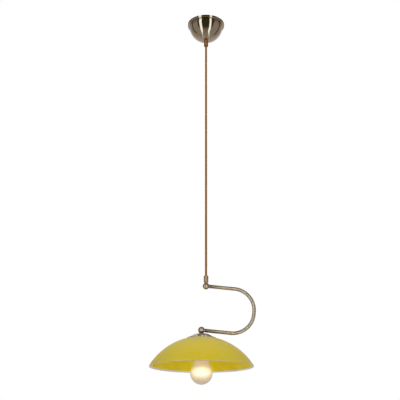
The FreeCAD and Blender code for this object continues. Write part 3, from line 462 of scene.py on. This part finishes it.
# The opal bulb glows most round its middle and fades towards its outline.
def bulbFinish():
    values = {"glowLevel": -1063.0, "spread": 14.5, "glow": (1.1, 0.93, 0.62), "warm": (0.36, 0.29, 0.18),
              "cool": (0.16, 0.13, 0.09), "hazeReach": (-0.03, 0.03), "shimmer": (0.94, 1.0), "fade": 1.8,
              "scale": 120.0, "dim": (0.41, 0.32, 0.20), "pale": (0.44, 0.35, 0.23), "sheen": (0.22, 0.30),
              "strength": 0.05, "ripple": 0.0004}
    material, tree, shader = newFinish("opalGlass", **{
        "Coat Weight": 0.2, "Coat Roughness": 0.08, "Emission Strength": 1.0})
    vector = objectCoords(tree, (lampX, 0, values["glowLevel"]))
    spots = placeGroup(tree, cloudyGlass, {"Vector": vector, "Scale": values["scale"]})
    height = splitXyz(tree, vector)[2]
    lift = calc(tree, "DIVIDE", height, values["spread"] * mm)
    fall = calc(tree, "EXPONENT", calc(tree, "MULTIPLY", calc(tree, "MULTIPLY", lift, lift), -1.0))
    shimmer = remap(tree, spots["Cloud"], *noiseRange, *values["shimmer"])
    glow = calc(tree, "MULTIPLY", calc(tree, "MULTIPLY", fall, shimmer), facing(tree, values["fade"]))
    haze = blendColour(tree, remap(tree, height, *values["hazeReach"]), values["cool"], values["warm"])
    tree.links.new(blendColour(tree, glow, haze, values["glow"], "ADD"), shader.inputs["Emission Color"])
    tone = remap(tree, spots["Cloud"], *noiseRange)
    tree.links.new(blendColour(tree, tone, values["dim"], values["pale"]), shader.inputs["Base Color"])
    tree.links.new(remap(tree, spots["Speck"], *noiseRange, *values["sheen"]), shader.inputs["Roughness"])
    bump(tree, spots["Ripple"], values["strength"], values["ripple"], shader)
    return material


braidedCable = cableFinish()
# The outer skin's top colour is painted light, lighter and greyer than its deep yellow. Its edge colour is
# a painted reflection.
outerGlass = glassFinish("outerGlass", {
    "deep": (0.48, 0.365, 0.002), "deeper": (0.51, 0.385, 0.010), "top": (0.60, 0.465, 0.036),
    "edge": (0.53, 0.425, 0.105), "edgePower": 0.55, "haze": 0.05, "roughness": 0.42},
    **{"Specular IOR Level": 0.04})
# The inner skin is a brighter copy of the outer yellow: painted light from the bulb inside. Its edge colour
# is a painted reflection as well.
innerGlass = glassFinish("innerGlass", {
    "deep": (0.74, 0.555, 0.002), "deeper": (0.80, 0.605, 0.008), "top": (0.74, 0.555, 0.002),
    "edge": (0.70, 0.56, 0.06), "edgePower": 0.4, "haze": 0.08, "roughness": 0.4},
    **{"Specular IOR Level": 0.06})
edgeGlass = edgeFinish()
opalGlass = bulbFinish()
print("finishes ready")


def finishMesh(name, mesh, materials=()):
    for material in materials:
        mesh.materials.append(material)
    mesh.shade_smooth()
    mesh.set_sharp_from_angle(angle=sharpAngle)
    piece = bpy.data.objects.new(name, mesh)
    bpy.context.scene.collection.objects.link(piece)
    return piece


# A closed outline of radii and heights, turned round the upright line at x.
def turnedMesh(name, outline, x, segments=128, slotOf=None):
    shape = bmesh.new()
    turns = [2 * math.pi * k / segments for k in range(segments)]
    rings = [[shape.verts.new(((x + r * math.cos(t)) * mm, r * math.sin(t) * mm, z * mm)) for t in turns]
             for r, z in outline]
    for index, ring in enumerate(rings):
        following = rings[(index + 1) % len(rings)]
        for k in range(segments):
            n = (k + 1) % segments
            face = shape.faces.new([ring[k], ring[n], following[n], following[k]])
            if slotOf:
                face.material_index = slotOf(index)
    bmesh.ops.recalc_face_normals(shape, faces=shape.faces)
    mesh = bpy.data.meshes.new(name)
    shape.to_mesh(mesh)
    shape.free()
    return mesh


def standsFor(piece, body, slot, *cadNodes):
    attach(piece, body)
    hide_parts(*cadNodes)
    return piece


# Geometry node trees. Each runs once on a small source mesh and leaves a plain mesh behind.
def setInput(modifier, label, value):
    items = modifier.node_group.interface.items_tree
    socket = next(item for item in items if item.name == label and item.in_out == "INPUT")
    modifier[socket.identifier] = value


def runTree(name, source, tree, values):
    holder = bpy.data.objects.new(name + "Source", source)
    bpy.context.scene.collection.objects.link(holder)
    modifier = holder.modifiers.new("shape", "NODES")
    modifier.node_group = tree
    for label, value in values.items():
        setInput(modifier, label, value)
    bpy.context.view_layer.update()
    evaluated = holder.evaluated_get(bpy.context.evaluated_depsgraph_get())
    mesh = bpy.data.meshes.new_from_object(evaluated)
    holder.modifiers.clear()
    bpy.data.objects.remove(holder)
    mesh.name = name
    return finishMesh(name, mesh)


def pathMesh(name, points):
    mesh = bpy.data.meshes.new(name)
    edges = [(k, k + 1) for k in range(len(points) - 1)]
    mesh.from_pydata([Vector(point) * mm for point in points], edges, [])
    return mesh


def givenTree(name, inputs):
    return newGroup(name, "GeometryNodeTree", [("Geometry", "Geometry", None), *inputs,
                    ("Finish", "Material", None)], [("Geometry", "Geometry")])


def endTree(tree, given, made, geometry):
    smooth = addNode(tree, "GeometryNodeSetShadeSmooth", {"Geometry": geometry}).outputs[0]
    real = addNode(tree, "GeometryNodeRealizeInstances", {"Geometry": smooth}).outputs[0]
    inputs = {"Geometry": real, "Material": given["Finish"]}
    tree.links.new(addNode(tree, "GeometryNodeSetMaterial", inputs).outputs[0], made["Geometry"])
    return tree


def store(tree, geometry, name, value, dataType):
    inputs = {"Geometry": geometry, "Name": name, "Value": value}
    return addNode(tree, "GeometryNodeStoreNamedAttribute", inputs, data_type=dataType).outputs[0]


def moved(tree, geometry, offset):
    return addNode(tree, "GeometryNodeSetPosition", {"Geometry": geometry, "Offset": offset}).outputs[0]


# The swept tube keeps its length, direction and centre line as attributes for the finishes.
def sweep(tree, line, radius, around, caps):
    along = addNode(tree, "GeometryNodeSplineParameter").outputs["Length"]
    way = addNode(tree, "GeometryNodeInputTangent").outputs[0]
    place = addNode(tree, "GeometryNodeInputPosition").outputs[0]
    line = store(tree, line, "alongPath", along, "FLOAT")
    line = store(tree, line, "pathWay", way, "FLOAT_VECTOR")
    line = store(tree, line, "pathPlace", place, "FLOAT_VECTOR")
    circle = {"Radius": radius, "Resolution": around}
    ring = addNode(tree, "GeometryNodeCurvePrimitiveCircle", circle).outputs[0]
    ring = store(tree, ring, "roundWay", vectorCalc(tree, "NORMALIZE", place), "FLOAT_VECTOR")
    inputs = {"Curve": line, "Profile Curve": ring, "Fill Caps": caps}
    return addNode(tree, "GeometryNodeCurveToMesh", inputs).outputs[0]


def named(tree, name, dataType):
    return addNode(tree, "GeometryNodeInputNamedAttribute", {"Name": name}, data_type=dataType).outputs[0]


def makeBraidedCord():
    tree, given, made = givenTree("braidedCord", [
        ("Radius", "Float", 0.003), ("Relief", "Float", 0.00012), ("Carriers", "Float", 8.0),
        ("Lay", "Float", 0.02), ("Step", "Float", 0.0005), ("Around", "Int", 40)])
    line = addNode(tree, "GeometryNodeMeshToCurve", {"Mesh": given["Geometry"]}).outputs[0]
    inputs = {"Curve": line, "Length": given["Step"]}
    line = addNode(tree, "GeometryNodeResampleCurve", inputs, mode="LENGTH").outputs[0]
    tube = sweep(tree, line, given["Radius"], given["Around"], True)
    across, depth, _ = splitXyz(tree, named(tree, "roundWay", "FLOAT_VECTOR"))
    along = named(tree, "alongPath", "FLOAT")
    height, _, _ = braidHeight(tree, across, depth, along, given["Carriers"], given["Lay"])
    place = addNode(tree, "GeometryNodeInputPosition").outputs[0]
    outward = vectorCalc(tree, "SUBTRACT", place, named(tree, "pathPlace", "FLOAT_VECTOR"))
    lift = calc(tree, "MULTIPLY", height, given["Relief"])
    raised = moved(tree, tube, scaled(tree, vectorCalc(tree, "NORMALIZE", outward), lift))
    return endTree(tree, given, made, raised)


def makeBentTube():
    tree, given, made = givenTree("bentTube", [
        ("Radius", "Float", 0.005), ("Bend", "Float", 0.058), ("Bend Steps", "Int", 48),
        ("Around", "Int", 48), ("Closed Ends", "Bool", True)])
    line = addNode(tree, "GeometryNodeMeshToCurve", {"Mesh": given["Geometry"]}).outputs[0]
    inputs = {"Curve": line, "Radius": given["Bend"], "Count": given["Bend Steps"]}
    bent = addNode(tree, "GeometryNodeFilletCurve", inputs, mode="POLY").outputs[0]
    tube = sweep(tree, bent, given["Radius"], given["Around"], given["Closed Ends"])
    return endTree(tree, given, made, tube)


crestReach = 0.00002  # only points this near to the crest are cut


def makeScrewThread():
    tree, given, made = givenTree("screwThread", [
        ("Axis X", "Float", 0.0), ("Crest", "Float", 0.013), ("Depth", "Float", 0.0009),
        ("Pitch", "Float", 0.0036), ("Low", "Float", 0.0), ("High", "Float", 0.02),
        ("Fade", "Float", 0.002)])
    place = addNode(tree, "GeometryNodeInputPosition").outputs[0]
    x, y, z = splitXyz(tree, place)
    side = calc(tree, "SUBTRACT", x, given["Axis X"])
    flat = joinXyz(tree, side, y, 0.0)
    turn = calc(tree, "DIVIDE", calc(tree, "ARCTAN2", y, side), 2 * math.pi)
    climb = calc(tree, "ADD", calc(tree, "DIVIDE", z, given["Pitch"]), turn)
    phase = calc(tree, "COSINE", calc(tree, "MULTIPLY", climb, 2 * math.pi))
    groove = calc(tree, "MULTIPLY", calc(tree, "SUBTRACT", 1.0, phase), 0.5)
    lower = remap(tree, calc(tree, "SUBTRACT", z, given["Low"]), 0.0, given["Fade"], smooth=True)
    upper = remap(tree, calc(tree, "SUBTRACT", given["High"], z), 0.0, given["Fade"], smooth=True)
    radius = vectorCalc(tree, "LENGTH", flat, output=1)
    onCrest = calc(tree, "GREATER_THAN", radius, calc(tree, "SUBTRACT", given["Crest"], crestReach))
    depth = calc(tree, "MULTIPLY", groove, given["Depth"])
    for share in (calc(tree, "MULTIPLY", lower, upper), onCrest, -1.0):
        depth = calc(tree, "MULTIPLY", depth, share)
    cutMesh = moved(tree, given["Geometry"], scaled(tree, vectorCalc(tree, "NORMALIZE", flat), depth))
    return endTree(tree, given, made, cutMesh)


braidedCord = makeBraidedCord()
bentTube = makeBentTube()
screwThread = makeScrewThread()
print("shape trees ready")


# The camera stands below the lamp and looks up, as in the photograph.
cameraView = {"lens": 68.31, "sensor": 36.0, "shift": -0.0151, "place": (0, -2.055, -1.289), "pitch": 109.1}
cameraData = bpy.data.cameras.new("camera")
cameraData.lens = cameraView["lens"]
cameraData.sensor_width = cameraView["sensor"]
cameraData.shift_x = cameraView["shift"]
camera = bpy.data.objects.new("camera", cameraData)
camera.location = cameraView["place"]
camera.rotation_euler = (math.radians(cameraView["pitch"]), 0, 0)
bpy.context.scene.collection.objects.link(camera)
bpy.context.scene.camera = camera


def routeLine(name, points):
    curve = bpy.data.curves.new(name, "CURVE")
    curve.dimensions = "3D"
    spline = curve.splines.new("NURBS")
    spline.points.add(len(points) - 1)
    for point, place in zip(spline.points, points):
        point.co = (*(value * mm for value in place), 1.0)
    spline.order_u = 3
    spline.use_endpoint_u = True
    holder = bpy.data.objects.new(name, curve)
    bpy.context.scene.collection.objects.link(holder)
    bpy.context.view_layer.update()
    line = bpy.data.meshes.new_from_object(holder.evaluated_get(bpy.context.evaluated_depsgraph_get()))
    bpy.data.objects.remove(holder)
    return line


# The hanging cable is drawn a little wider than its hidden runs.
cordShape = {"Radius": 0.00292, "Relief": 0.00014, **braidLay, "Finish": braidedCable}
hangShape = dict(cordShape, Radius=0.00306, Step=0.0005, Around=40)
tailShape = dict(cordShape, Step=0.0005, Around=40)
reelShape = dict(cordShape, Step=0.0006, Around=36)
nozzleEnd = nodeBox("suspension_cable")[1].z
sleeveTop = nodeBox("suspension_cable")[0].z
tailEnd = nodeBox("cable_tail")[0].z
straightEnd = 36  # the cable leaves its nozzle and enters its sleeve dead straight

cableLine = routeLine("cableLine", [
    (0, 0, nozzleEnd), (0, 0, nozzleEnd - straightEnd), (0, 0, sleeveTop + straightEnd), (0, 0, sleeveTop)])
suspensionCable = runTree("suspensionCable", cableLine, braidedCord, hangShape)
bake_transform(suspensionCable)
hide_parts("suspension_cable")

tailLine = routeLine("tailLine", [(0, 0, sleeveTop), (0, 0, (sleeveTop + tailEnd) / 2), (0, 0, tailEnd)])
cableTail = runTree("cableTail", tailLine, braidedCord, tailShape)
standsFor(cableTail, "cable_end", "gold_cable", "cable_tail")

winding = {"radius": 15.5, "pitch": 6.8, "perTurn": 16, "turns": 2.25, "axisX": -15.5, "axisZ": -25.0,
           "anchor": 6.0}


# Control points stand outside the drum's circle, so that the curve between them touches it.
def windingPoints():
    stepAngle = 2 * math.pi / winding["perTurn"]
    reach = winding["radius"] / math.cos(stepAngle / 2)
    points = [(0, 0, winding["axisZ"])]
    for k in range(round(winding["perTurn"] * winding["turns"])):
        turn = stepAngle * (k + 0.5)
        points.append((winding["axisX"] + reach * math.cos(turn), -winding["pitch"] * turn / (2 * math.pi),
                       winding["axisZ"] + reach * math.sin(turn)))
    last = -winding["pitch"] * winding["turns"]
    points.append((winding["axisX"] - winding["anchor"], last, winding["axisZ"] + winding["radius"]))
    return points


reelWinding = runTree("reelWinding", routeLine("windingLine", windingPoints()), braidedCord, reelShape)
standsFor(reelWinding, "reel", "gold_cable", "reel_winding")

# The run from the nozzle to the drum hangs still while the drum turns.
dropLine = routeLine("dropLine", [
    (0, 0, nozzleEnd), (0, 0, (nozzleEnd + winding["axisZ"]) / 2), (0, 0, winding["axisZ"])])
cableDrop = runTree("cableDrop", dropLine, braidedCord, reelShape)
standsFor(cableDrop, "ceiling_fixture", "gold_cable", "reel_winding")
print("cable ready")


armShape = {"tilt": -5.8, "run": 79.4, "bend": 58.0, "back": 6.0, "tubeStart": 9.0, "leadStart": 17.0,
            "radius": 5.0, "wall": 1.5, "leadRadius": 2.8, "ballZ": -828.61}


# The limbs leave the two balls in parallel and meet in a bend, whose corners the tree rounds.
def armCorners(endGap):
    tilt = math.radians(armShape["tilt"])
    along = Vector((math.cos(tilt), 0, math.sin(tilt)))
    across = Vector((along.z, 0, -along.x))
    far = armShape["run"] + armShape["bend"]
    depth = 2 * armShape["bend"] + armShape["back"]
    upperBall = Vector((0, 0, armShape["ballZ"]))
    reaches = ((endGap, 0), (far, 0), (far, depth), (endGap, depth))
    return [upperBall + along * a + across * b for a, b in reaches]


tubeLine = pathMesh("tubeLine", armCorners(armShape["tubeStart"]))
armTube = runTree("armTube", tubeLine, bentTube, {
    "Radius": armShape["radius"] * mm, "Bend": armShape["bend"] * mm, "Bend Steps": 56, "Around": 64,
    "Closed Ends": False, "Finish": tubeBrass})
wall = armTube.modifiers.new("wall", "SOLIDIFY")
wall.thickness = armShape["wall"] * mm
wall.offset = -1.0
wall.use_rim = True
standsFor(armTube, "arm", "antique_brass", "arm_tube")

leadLine = pathMesh("leadLine", armCorners(armShape["leadStart"]))
armLead = runTree("armLead", leadLine, bentTube, {
    "Radius": armShape["leadRadius"] * mm, "Bend": armShape["bend"] * mm, "Bend Steps": 40, "Around": 28,
    "Closed Ends": True, "Finish": leadSheath})
standsFor(armLead, "arm", "lead_sheath", "arm_lead")
print("arm ready")


shadeShape = {
    "radius": 164.0, "wall": 3.2, "rim": 139.9, "hole": 21.0, "steps": 72, "lipSteps": 12, "segments": 192}
glassTop = nodeBox("glass_shade")[1].z
glassCentre = glassTop - math.sqrt(shadeShape["radius"] ** 2 - shadeShape["hole"] ** 2)


def capArc(radius, fromR, toR, steps):
    first, last = math.asin(fromR / radius), math.asin(toR / radius)
    turns = [first + (last - first) * k / steps for k in range(steps + 1)]
    return [(radius * math.sin(turn), glassCentre + radius * math.cos(turn)) for turn in turns]


# The glass is two spherical skins, joined at the rim by a soft lip.
def shadeOutline():
    outer, wallSize, steps = shadeShape["radius"], shadeShape["wall"], shadeShape["lipSteps"]
    inner = outer - wallSize
    skin = capArc(outer, shadeShape["hole"], shadeShape["rim"], shadeShape["steps"])
    innerRim = shadeShape["rim"] * inner / outer
    lining = capArc(inner, innerRim, shadeShape["hole"], shadeShape["steps"])
    start, end = Vector(skin[-1]), Vector(lining[0])
    out = (end - start).orthogonal().normalized()
    if out.y > 0:
        out.negate()
    middle = (start + end) / 2
    turns = [math.pi * k / steps for k in range(1, steps)]
    lip = [tuple(middle + (start - middle) * math.cos(turn) + out * (wallSize / 3) * math.sin(turn))
           for turn in turns]
    return skin, lip, lining


skin, lip, lining = shadeOutline()
skinEnd = len(skin) - 1
lipEnd = len(skin) + len(lip) + 2
shadeEnd = len(skin) + len(lip) + len(lining) - 1


def glassSlot(index):
    if index < skinEnd:
        return 0
    return 2 if index < lipEnd or index >= shadeEnd else 1


glassMesh = turnedMesh("glassShade", skin + lip + lining, lampX, shadeShape["segments"], glassSlot)
glassShade = finishMesh("glassShade", glassMesh, [outerGlass, innerGlass, edgeGlass])
standsFor(glassShade, "shade", "yellow_glass", "glass_shade")

gasketShape = {"under": 164.05, "over": 164.75, "fromR": 36.5, "toR": 39.5, "steps": 8}
gasketOutline = (
    capArc(gasketShape["under"], gasketShape["fromR"], gasketShape["toR"], gasketShape["steps"])
    + capArc(gasketShape["over"], gasketShape["toR"], gasketShape["fromR"], gasketShape["steps"]))
glassGasket = finishMesh("glassGasket", turnedMesh("glassGasket", gasketOutline, lampX), [clearRubber])
standsFor(glassGasket, "shade", "clear_rubber", "glass_gasket")
print("shade ready")


# The lampholder's skirt carries the thread that the shade ring runs on.
skirtShape = {"wall": 2.6, "lip": 1.3, "lipSteps": 6, "pitch": 3.0, "depth": 0.7, "rows": 150,
              "plainBelow": 3, "plainAbove": 1, "fade": 2.0}
skirtLow, skirtHigh = nodeBox("holder_skirt")
skirtRadius = (skirtHigh.x - skirtLow.x) / 2


def skirtOutline():
    inner, soft, rows = skirtRadius - skirtShape["wall"], skirtShape["lip"], skirtShape["rows"]
    quarter = math.pi / 2
    turns = [quarter * k / skirtShape["lipSteps"] for k in range(skirtShape["lipSteps"])]
    corner = [(skirtRadius - soft + soft * math.sin(turn), skirtLow.z + soft - soft * math.cos(turn))
              for turn in turns]
    rise = skirtHigh.z - skirtLow.z - soft
    barrel = [(skirtRadius, skirtLow.z + soft + rise * k / rows) for k in range(rows + 1)]
    return [(inner, skirtLow.z)] + corner + barrel + [(inner, skirtHigh.z)]


holderSkirt = runTree("holderSkirt", turnedMesh("skirtBlank", skirtOutline(), lampX), screwThread, {
    "Axis X": lampX * mm, "Crest": skirtRadius * mm, "Depth": skirtShape["depth"] * mm,
    "Pitch": skirtShape["pitch"] * mm, "Low": (skirtLow.z + skirtShape["plainBelow"]) * mm,
    "High": (skirtHigh.z - skirtShape["plainAbove"]) * mm, "Fade": skirtShape["fade"] * mm,
    "Finish": whitePlastic})
standsFor(holderSkirt, "shade", "white_plastic", "holder_skirt")
print("lampholder skirt ready")


# The other pieces keep their CAD shape and take their finish here.
finishes = {
    "zinc_steel": zincSteel, "spring_steel": springSteel, "bare_brass": bareBrass,
    "white_plastic": whitePlastic, "black_plastic": blackPlastic, "lead_sheath": leadSheath,
    "clear_rubber": clearRubber, "porcelain": porcelain, "opal_glass": opalGlass, "cap_alloy": capAlloy,
    "black_glass": blackGlass, "solder": solder, "gold_cable": braidedCable, "yellow_glass": outerGlass,
    "antique_brass": cupBrass}
ownFinishes = {"cable_nozzle": nozzleBrass, "cable_sleeve": sleeveBrass, "nozzle_liner": linerPlastic}
lampSide = ("gallery", "holder", "shade_", "lower_", "bulb")

for part in frame["record"]["subparts"]:
    finish = finishes[part["material_slot"]]
    if finish == cupBrass and part["node"].startswith(lampSide):
        finish = lampBrass
    node = frame["nodes"][part["node"]]
    node.data.materials.clear()
    node.data.materials.append(ownFinishes.get(part["node"], finish))
print("finishes laid on")


def seenRays(tree):
    rays = addNode(tree, "ShaderNodeLightPath").outputs
    bent = calc(tree, "MAXIMUM", rays["Is Glossy Ray"], rays["Is Transmission Ray"])
    return calc(tree, "MAXIMUM", rays["Is Camera Ray"], bent)


# The stage is laid out in metres. The backdrop looks white and gives off less light than it shows.
ambientLight = 0.55
world = bpy.data.worlds.new("studio")
bpy.context.scene.world = world
world.use_nodes = True
sky = world.node_tree
backdrop = sky.nodes["Background"]
backdrop.inputs["Color"].default_value = (1, 1, 1, 1)
feed(sky, remap(sky, seenRays(sky), 0.0, 1.0, ambientLight, 1.0), backdrop.inputs["Strength"])


def softLight(name, place, target, width, height, power):
    data = bpy.data.lights.new(name, "AREA")
    data.shape = "RECTANGLE"
    data.size, data.size_y = width, height
    data.energy = power
    light = bpy.data.objects.new(name, data)
    light.location = place
    light.visible_glossy = False
    light.rotation_euler = (Vector(target) - Vector(place)).to_track_quat("-Z", "Y").to_euler()
    bpy.context.scene.collection.objects.link(light)


def around(azimuth, distance, height):
    turn = math.radians(azimuth)
    return (math.sin(turn) * distance, -math.cos(turn) * distance, height)


stripLight = {"target": (0, 0, -0.6), "width": 0.75, "height": 2.6, "power": 26.0}
topLight = {"target": (0, 0, -0.5), "width": 1.6, "height": 1.6, "power": 10.0}
softLight("stripLight", around(-35, 2.6, -0.6), **stripLight)
softLight("stripLight", around(35, 2.6, -0.6), **stripLight)
softLight("topLight", (0, -0.6, 1.2), **topLight)


cardCloud = {"scale": 3.0, "share": 0.08}
cardSteps = 8  # in each row, and between two rows
cupLevel = -0.03


def cardCoat(name, low, high, strength, fade, axis):
    material, tree, shader = newFinish(name, **{
        "Base Color": (0, 0, 0, 1), "Specular IOR Level": 0.0, "Emission Strength": strength})
    rise = remap(tree, splitXyz(tree, objectCoords(tree))[axis], *fade, smooth=True)
    tone = blendColour(tree, rise, low, high)
    cloud = calc(tree, "MULTIPLY", noise(tree, objectCoords(tree), cardCloud["scale"]), cardCloud["share"])
    tree.links.new(blendColour(tree, cloud, tone, (0, 0, 0)), shader.inputs["Emission Color"])
    return material


# Only reflections see a card. Its tone fades from low to high along one axis.
def addCard(name, places, faces, low, high=None, strength=1.0, fade=(-2.2, -0.9), axis=2):
    mesh = bpy.data.meshes.new(name)
    mesh.from_pydata(places, [], faces)
    mesh.materials.append(cardCoat(name + "Coat", low, high or low, strength, fade, axis))
    card = bpy.data.objects.new(name, mesh)
    for kind in ("camera", "diffuse", "shadow", "transmission"):
        setattr(card, "visible_" + kind, False)
    bpy.context.scene.collection.objects.link(card)


# Each row is an elevation and two azimuths in degrees, seen from the cup.
def reflectCard(name, rows, low, high=None, reach=2.3, **values):
    steps = []
    for here, after in zip(rows, rows[1:]):
        steps += [Vector(here).lerp(Vector(after), k / cardSteps) for k in range(cardSteps)]
    steps.append(Vector(rows[-1]))
    places = []
    for elevation, first, last in steps:
        lift = math.radians(elevation)
        for k in range(cardSteps + 1):
            places.append(around(first + (last - first) * k / cardSteps, reach * math.cos(lift),
                                 reach * math.sin(lift) + cupLevel))
    wide = cardSteps + 1
    faces = [(wide * r + k, wide * r + k + 1, wide * r + k + wide + 1, wide * r + k + wide)
             for r in range(len(steps) - 1) for k in range(cardSteps)]
    addCard(name, places, faces, low, high, **values)


def uprightCard(name, y, left, right, bottom, top, low, high=None, **values):
    places = [(left, y, bottom), (right, y, bottom), (right, y, top), (left, y, top)]
    addCard(name, places, [(0, 1, 2, 3)], low, high, **values)


def levelCard(name, z, left, right, front, back, tone):
    places = [(left, front, z), (right, front, z), (right, back, z), (left, back, z)]
    addCard(name, places, [(0, 1, 2, 3)], tone)


def roundCard(name, z, radius, tone, sides=32):
    turns = [2 * math.pi * k / sides for k in range(sides)]
    ring = [(radius * math.cos(turn), radius * math.sin(turn), z) for turn in turns]
    addCard(name, ring, [tuple(range(sides))], tone)


def mirrored(rows):
    return [(elevation, -last, -first) for elevation, first, last in rows]


def grey(level):
    return (level, level, level)


# Two bright strips run down beside the camera and turn away under the cup.
stripTone = {"low": (0.25, 0.27, 0.28), "high": (0.76, 0.88, 1.0), "reach": 2.2, "strength": 2.7,
             "fade": (0.8, -0.2), "axis": 1}
rightStrip = [(48, 24, 36.5), (-12, 24, 36.5), (-30, 24.5, 41), (-50, 26, 45), (-60, 28, 50),
              (-68, 36, 62), (-74, 70, 100), (-72, 110, 135), (-58, 140, 155)]
leftStrip = [(48, 29, 46), (-18, 29.5, 46), (-34, 30.5, 49.5), (-52, 36, 58), (-62, 50, 70),
             (-69, 80, 104), (-66, 118, 140), (-56, 138, 152)]
reflectCard("leftStrip", mirrored(leftStrip), **stripTone)
reflectCard("rightStrip", rightStrip, **stripTone)

# The dark between the strips, and the dark bands and lines outside them.
darkTone = {"low": (0.47, 0.46, 0.41), "high": (0.054, 0.052, 0.024), "fade": (-2.55, -1.0)}
gapTone = {"low": (0.08, 0.075, 0.05), "reach": 2.32}
lineTone = {"low": (0.13, 0.13, 0.11), "reach": 2.5}
frontDark = [(60, -34, 26), (-30, -34, 26), (-50, -42, 34), (-62, -58, 40), (-68, -92, 50),
             (-76, -150, 140)]
rightGap = [(50, 37, 64), (20, 37, 62), (0, 37, 53), (-10, 37, 52), (-24, 40, 52), (-36, 44, 47)]
leftGap = [(50, 45, 60), (-5, 45, 59), (-20, 46, 57), (-32, 49, 52)]
rightLine = [(45, 100, 120), (22, 98, 116), (0, 97, 106), (-20, 99, 110), (-40, 108, 120)]
leftLine = [(45, 98, 114), (0, 101, 112), (-15, 101, 111), (-34, 100, 108)]
reflectCard("frontDark", frontDark, **darkTone)
reflectCard("rightGap", rightGap, **gapTone)
reflectCard("leftGap", mirrored(leftGap), **gapTone)
reflectCard("rightLine", rightLine, **lineTone)
reflectCard("leftLine", mirrored(leftLine), **lineTone)

# Grey walls all round, and a ceiling.
wallTone = {"low": grey(0.43), "high": grey(0.19), "reach": 2.6, "fade": (0.2, 1.6)}
backTone = {"low": grey(0.41), "high": (0.72, 0.71, 0.73), "reach": 2.55, "fade": (0.9, 2.5), "axis": 1}
sideRows = [(60, 30, 130), (20, 30, 130), (-20, 30, 125), (-50, 30, 125), (-70, 40, 130)]
backRows = [(28, 112, 248), (0, 112, 248), (-55, 112, 248), (-78, 120, 240)]
reflectCard("rightWall", sideRows, **wallTone)
reflectCard("leftWall", mirrored(sideRows), **wallTone)
reflectCard("backWall", backRows, **backTone)
reflectCard("backTop", [(65, 112, 248), (28, 112, 248)], grey(0.24), reach=2.55)
reflectCard("backGlow", [(24, 150, 210), (-6, 150, 210)], (0.80, 0.78, 0.79), reach=2.5)
reflectCard("ceiling", [(90, 0, 360), (58, 0, 360)], grey(0.20), reach=2.7)

# Cards for the arm and the gallery, and shields that hide these two from the cup.
limbTone = {"low": (0.30, 0.29, 0.27), "high": (1.0, 0.96, 0.90), "strength": 4.0,
            "fade": (-0.03, 0.05), "axis": 0}
limbPlace = {"y": -0.45, "left": -0.05, "right": 0.085, "bottom": -1.25, "top": -0.69}
galleryPlace = {"y": 0.5, "left": -0.45, "right": 0.45, "bottom": -0.88, "top": -0.52}
frontPlace = {"z": -0.60, "left": -0.07, "right": 0.10, "front": -0.44, "back": -0.17}
backPlace = {"z": -0.45, "left": -0.42, "right": 0.42, "front": 0.23, "back": 0.45}
uprightCard("limbCard", **limbPlace, **limbTone)
uprightCard("galleryCard", **galleryPlace, low=(0.84, 0.79, 0.79))
levelCard("frontShield", **frontPlace, tone=(0.30, 0.29, 0.25))
levelCard("backShield", **backPlace, tone=(0.60, 0.59, 0.60))
roundCard("underCard", z=-2.3, radius=0.75, tone=(0.46, 0.45, 0.40))
roundCard("middleCard", z=-0.62, radius=0.10, tone=(0.44, 0.42, 0.36))

# The floor is pale and gives off a little of its own tone where it is seen.
floorShape = {"half": 4, "level": -2.4, "glow": 0.42, "cloudScale": 3.0, "dim": grey(0.84),
              "pale": (0.88, 0.88, 0.87)}
floorCoat, floorTree, floorShader = newFinish("floorCoat", Roughness=0.8)
floorGrain = noise(floorTree, objectCoords(floorTree), floorShape["cloudScale"])
floorTone = blendColour(floorTree, floorGrain, floorShape["dim"], floorShape["pale"])
floorTree.links.new(floorTone, floorShader.inputs["Base Color"])
floorTree.links.new(floorTone, floorShader.inputs["Emission Color"])
floorGlow = remap(floorTree, seenRays(floorTree), 0.0, 1.0, 0.0, floorShape["glow"])
feed(floorTree, floorGlow, floorShader.inputs["Emission Strength"])
corners = [(x * floorShape["half"], y * floorShape["half"], floorShape["level"])
           for x, y in ((-1, -1), (1, -1), (1, 1), (-1, 1))]
floorMesh = bpy.data.meshes.new("floor")
floorMesh.from_pydata(corners, [], [(0, 1, 2, 3)])
floorMesh.materials.append(floorCoat)
floor = bpy.data.objects.new("floor", floorMesh)
bpy.context.scene.collection.objects.link(floor)

bpy.context.scene.view_settings.view_transform = "Standard"
print("stage ready")
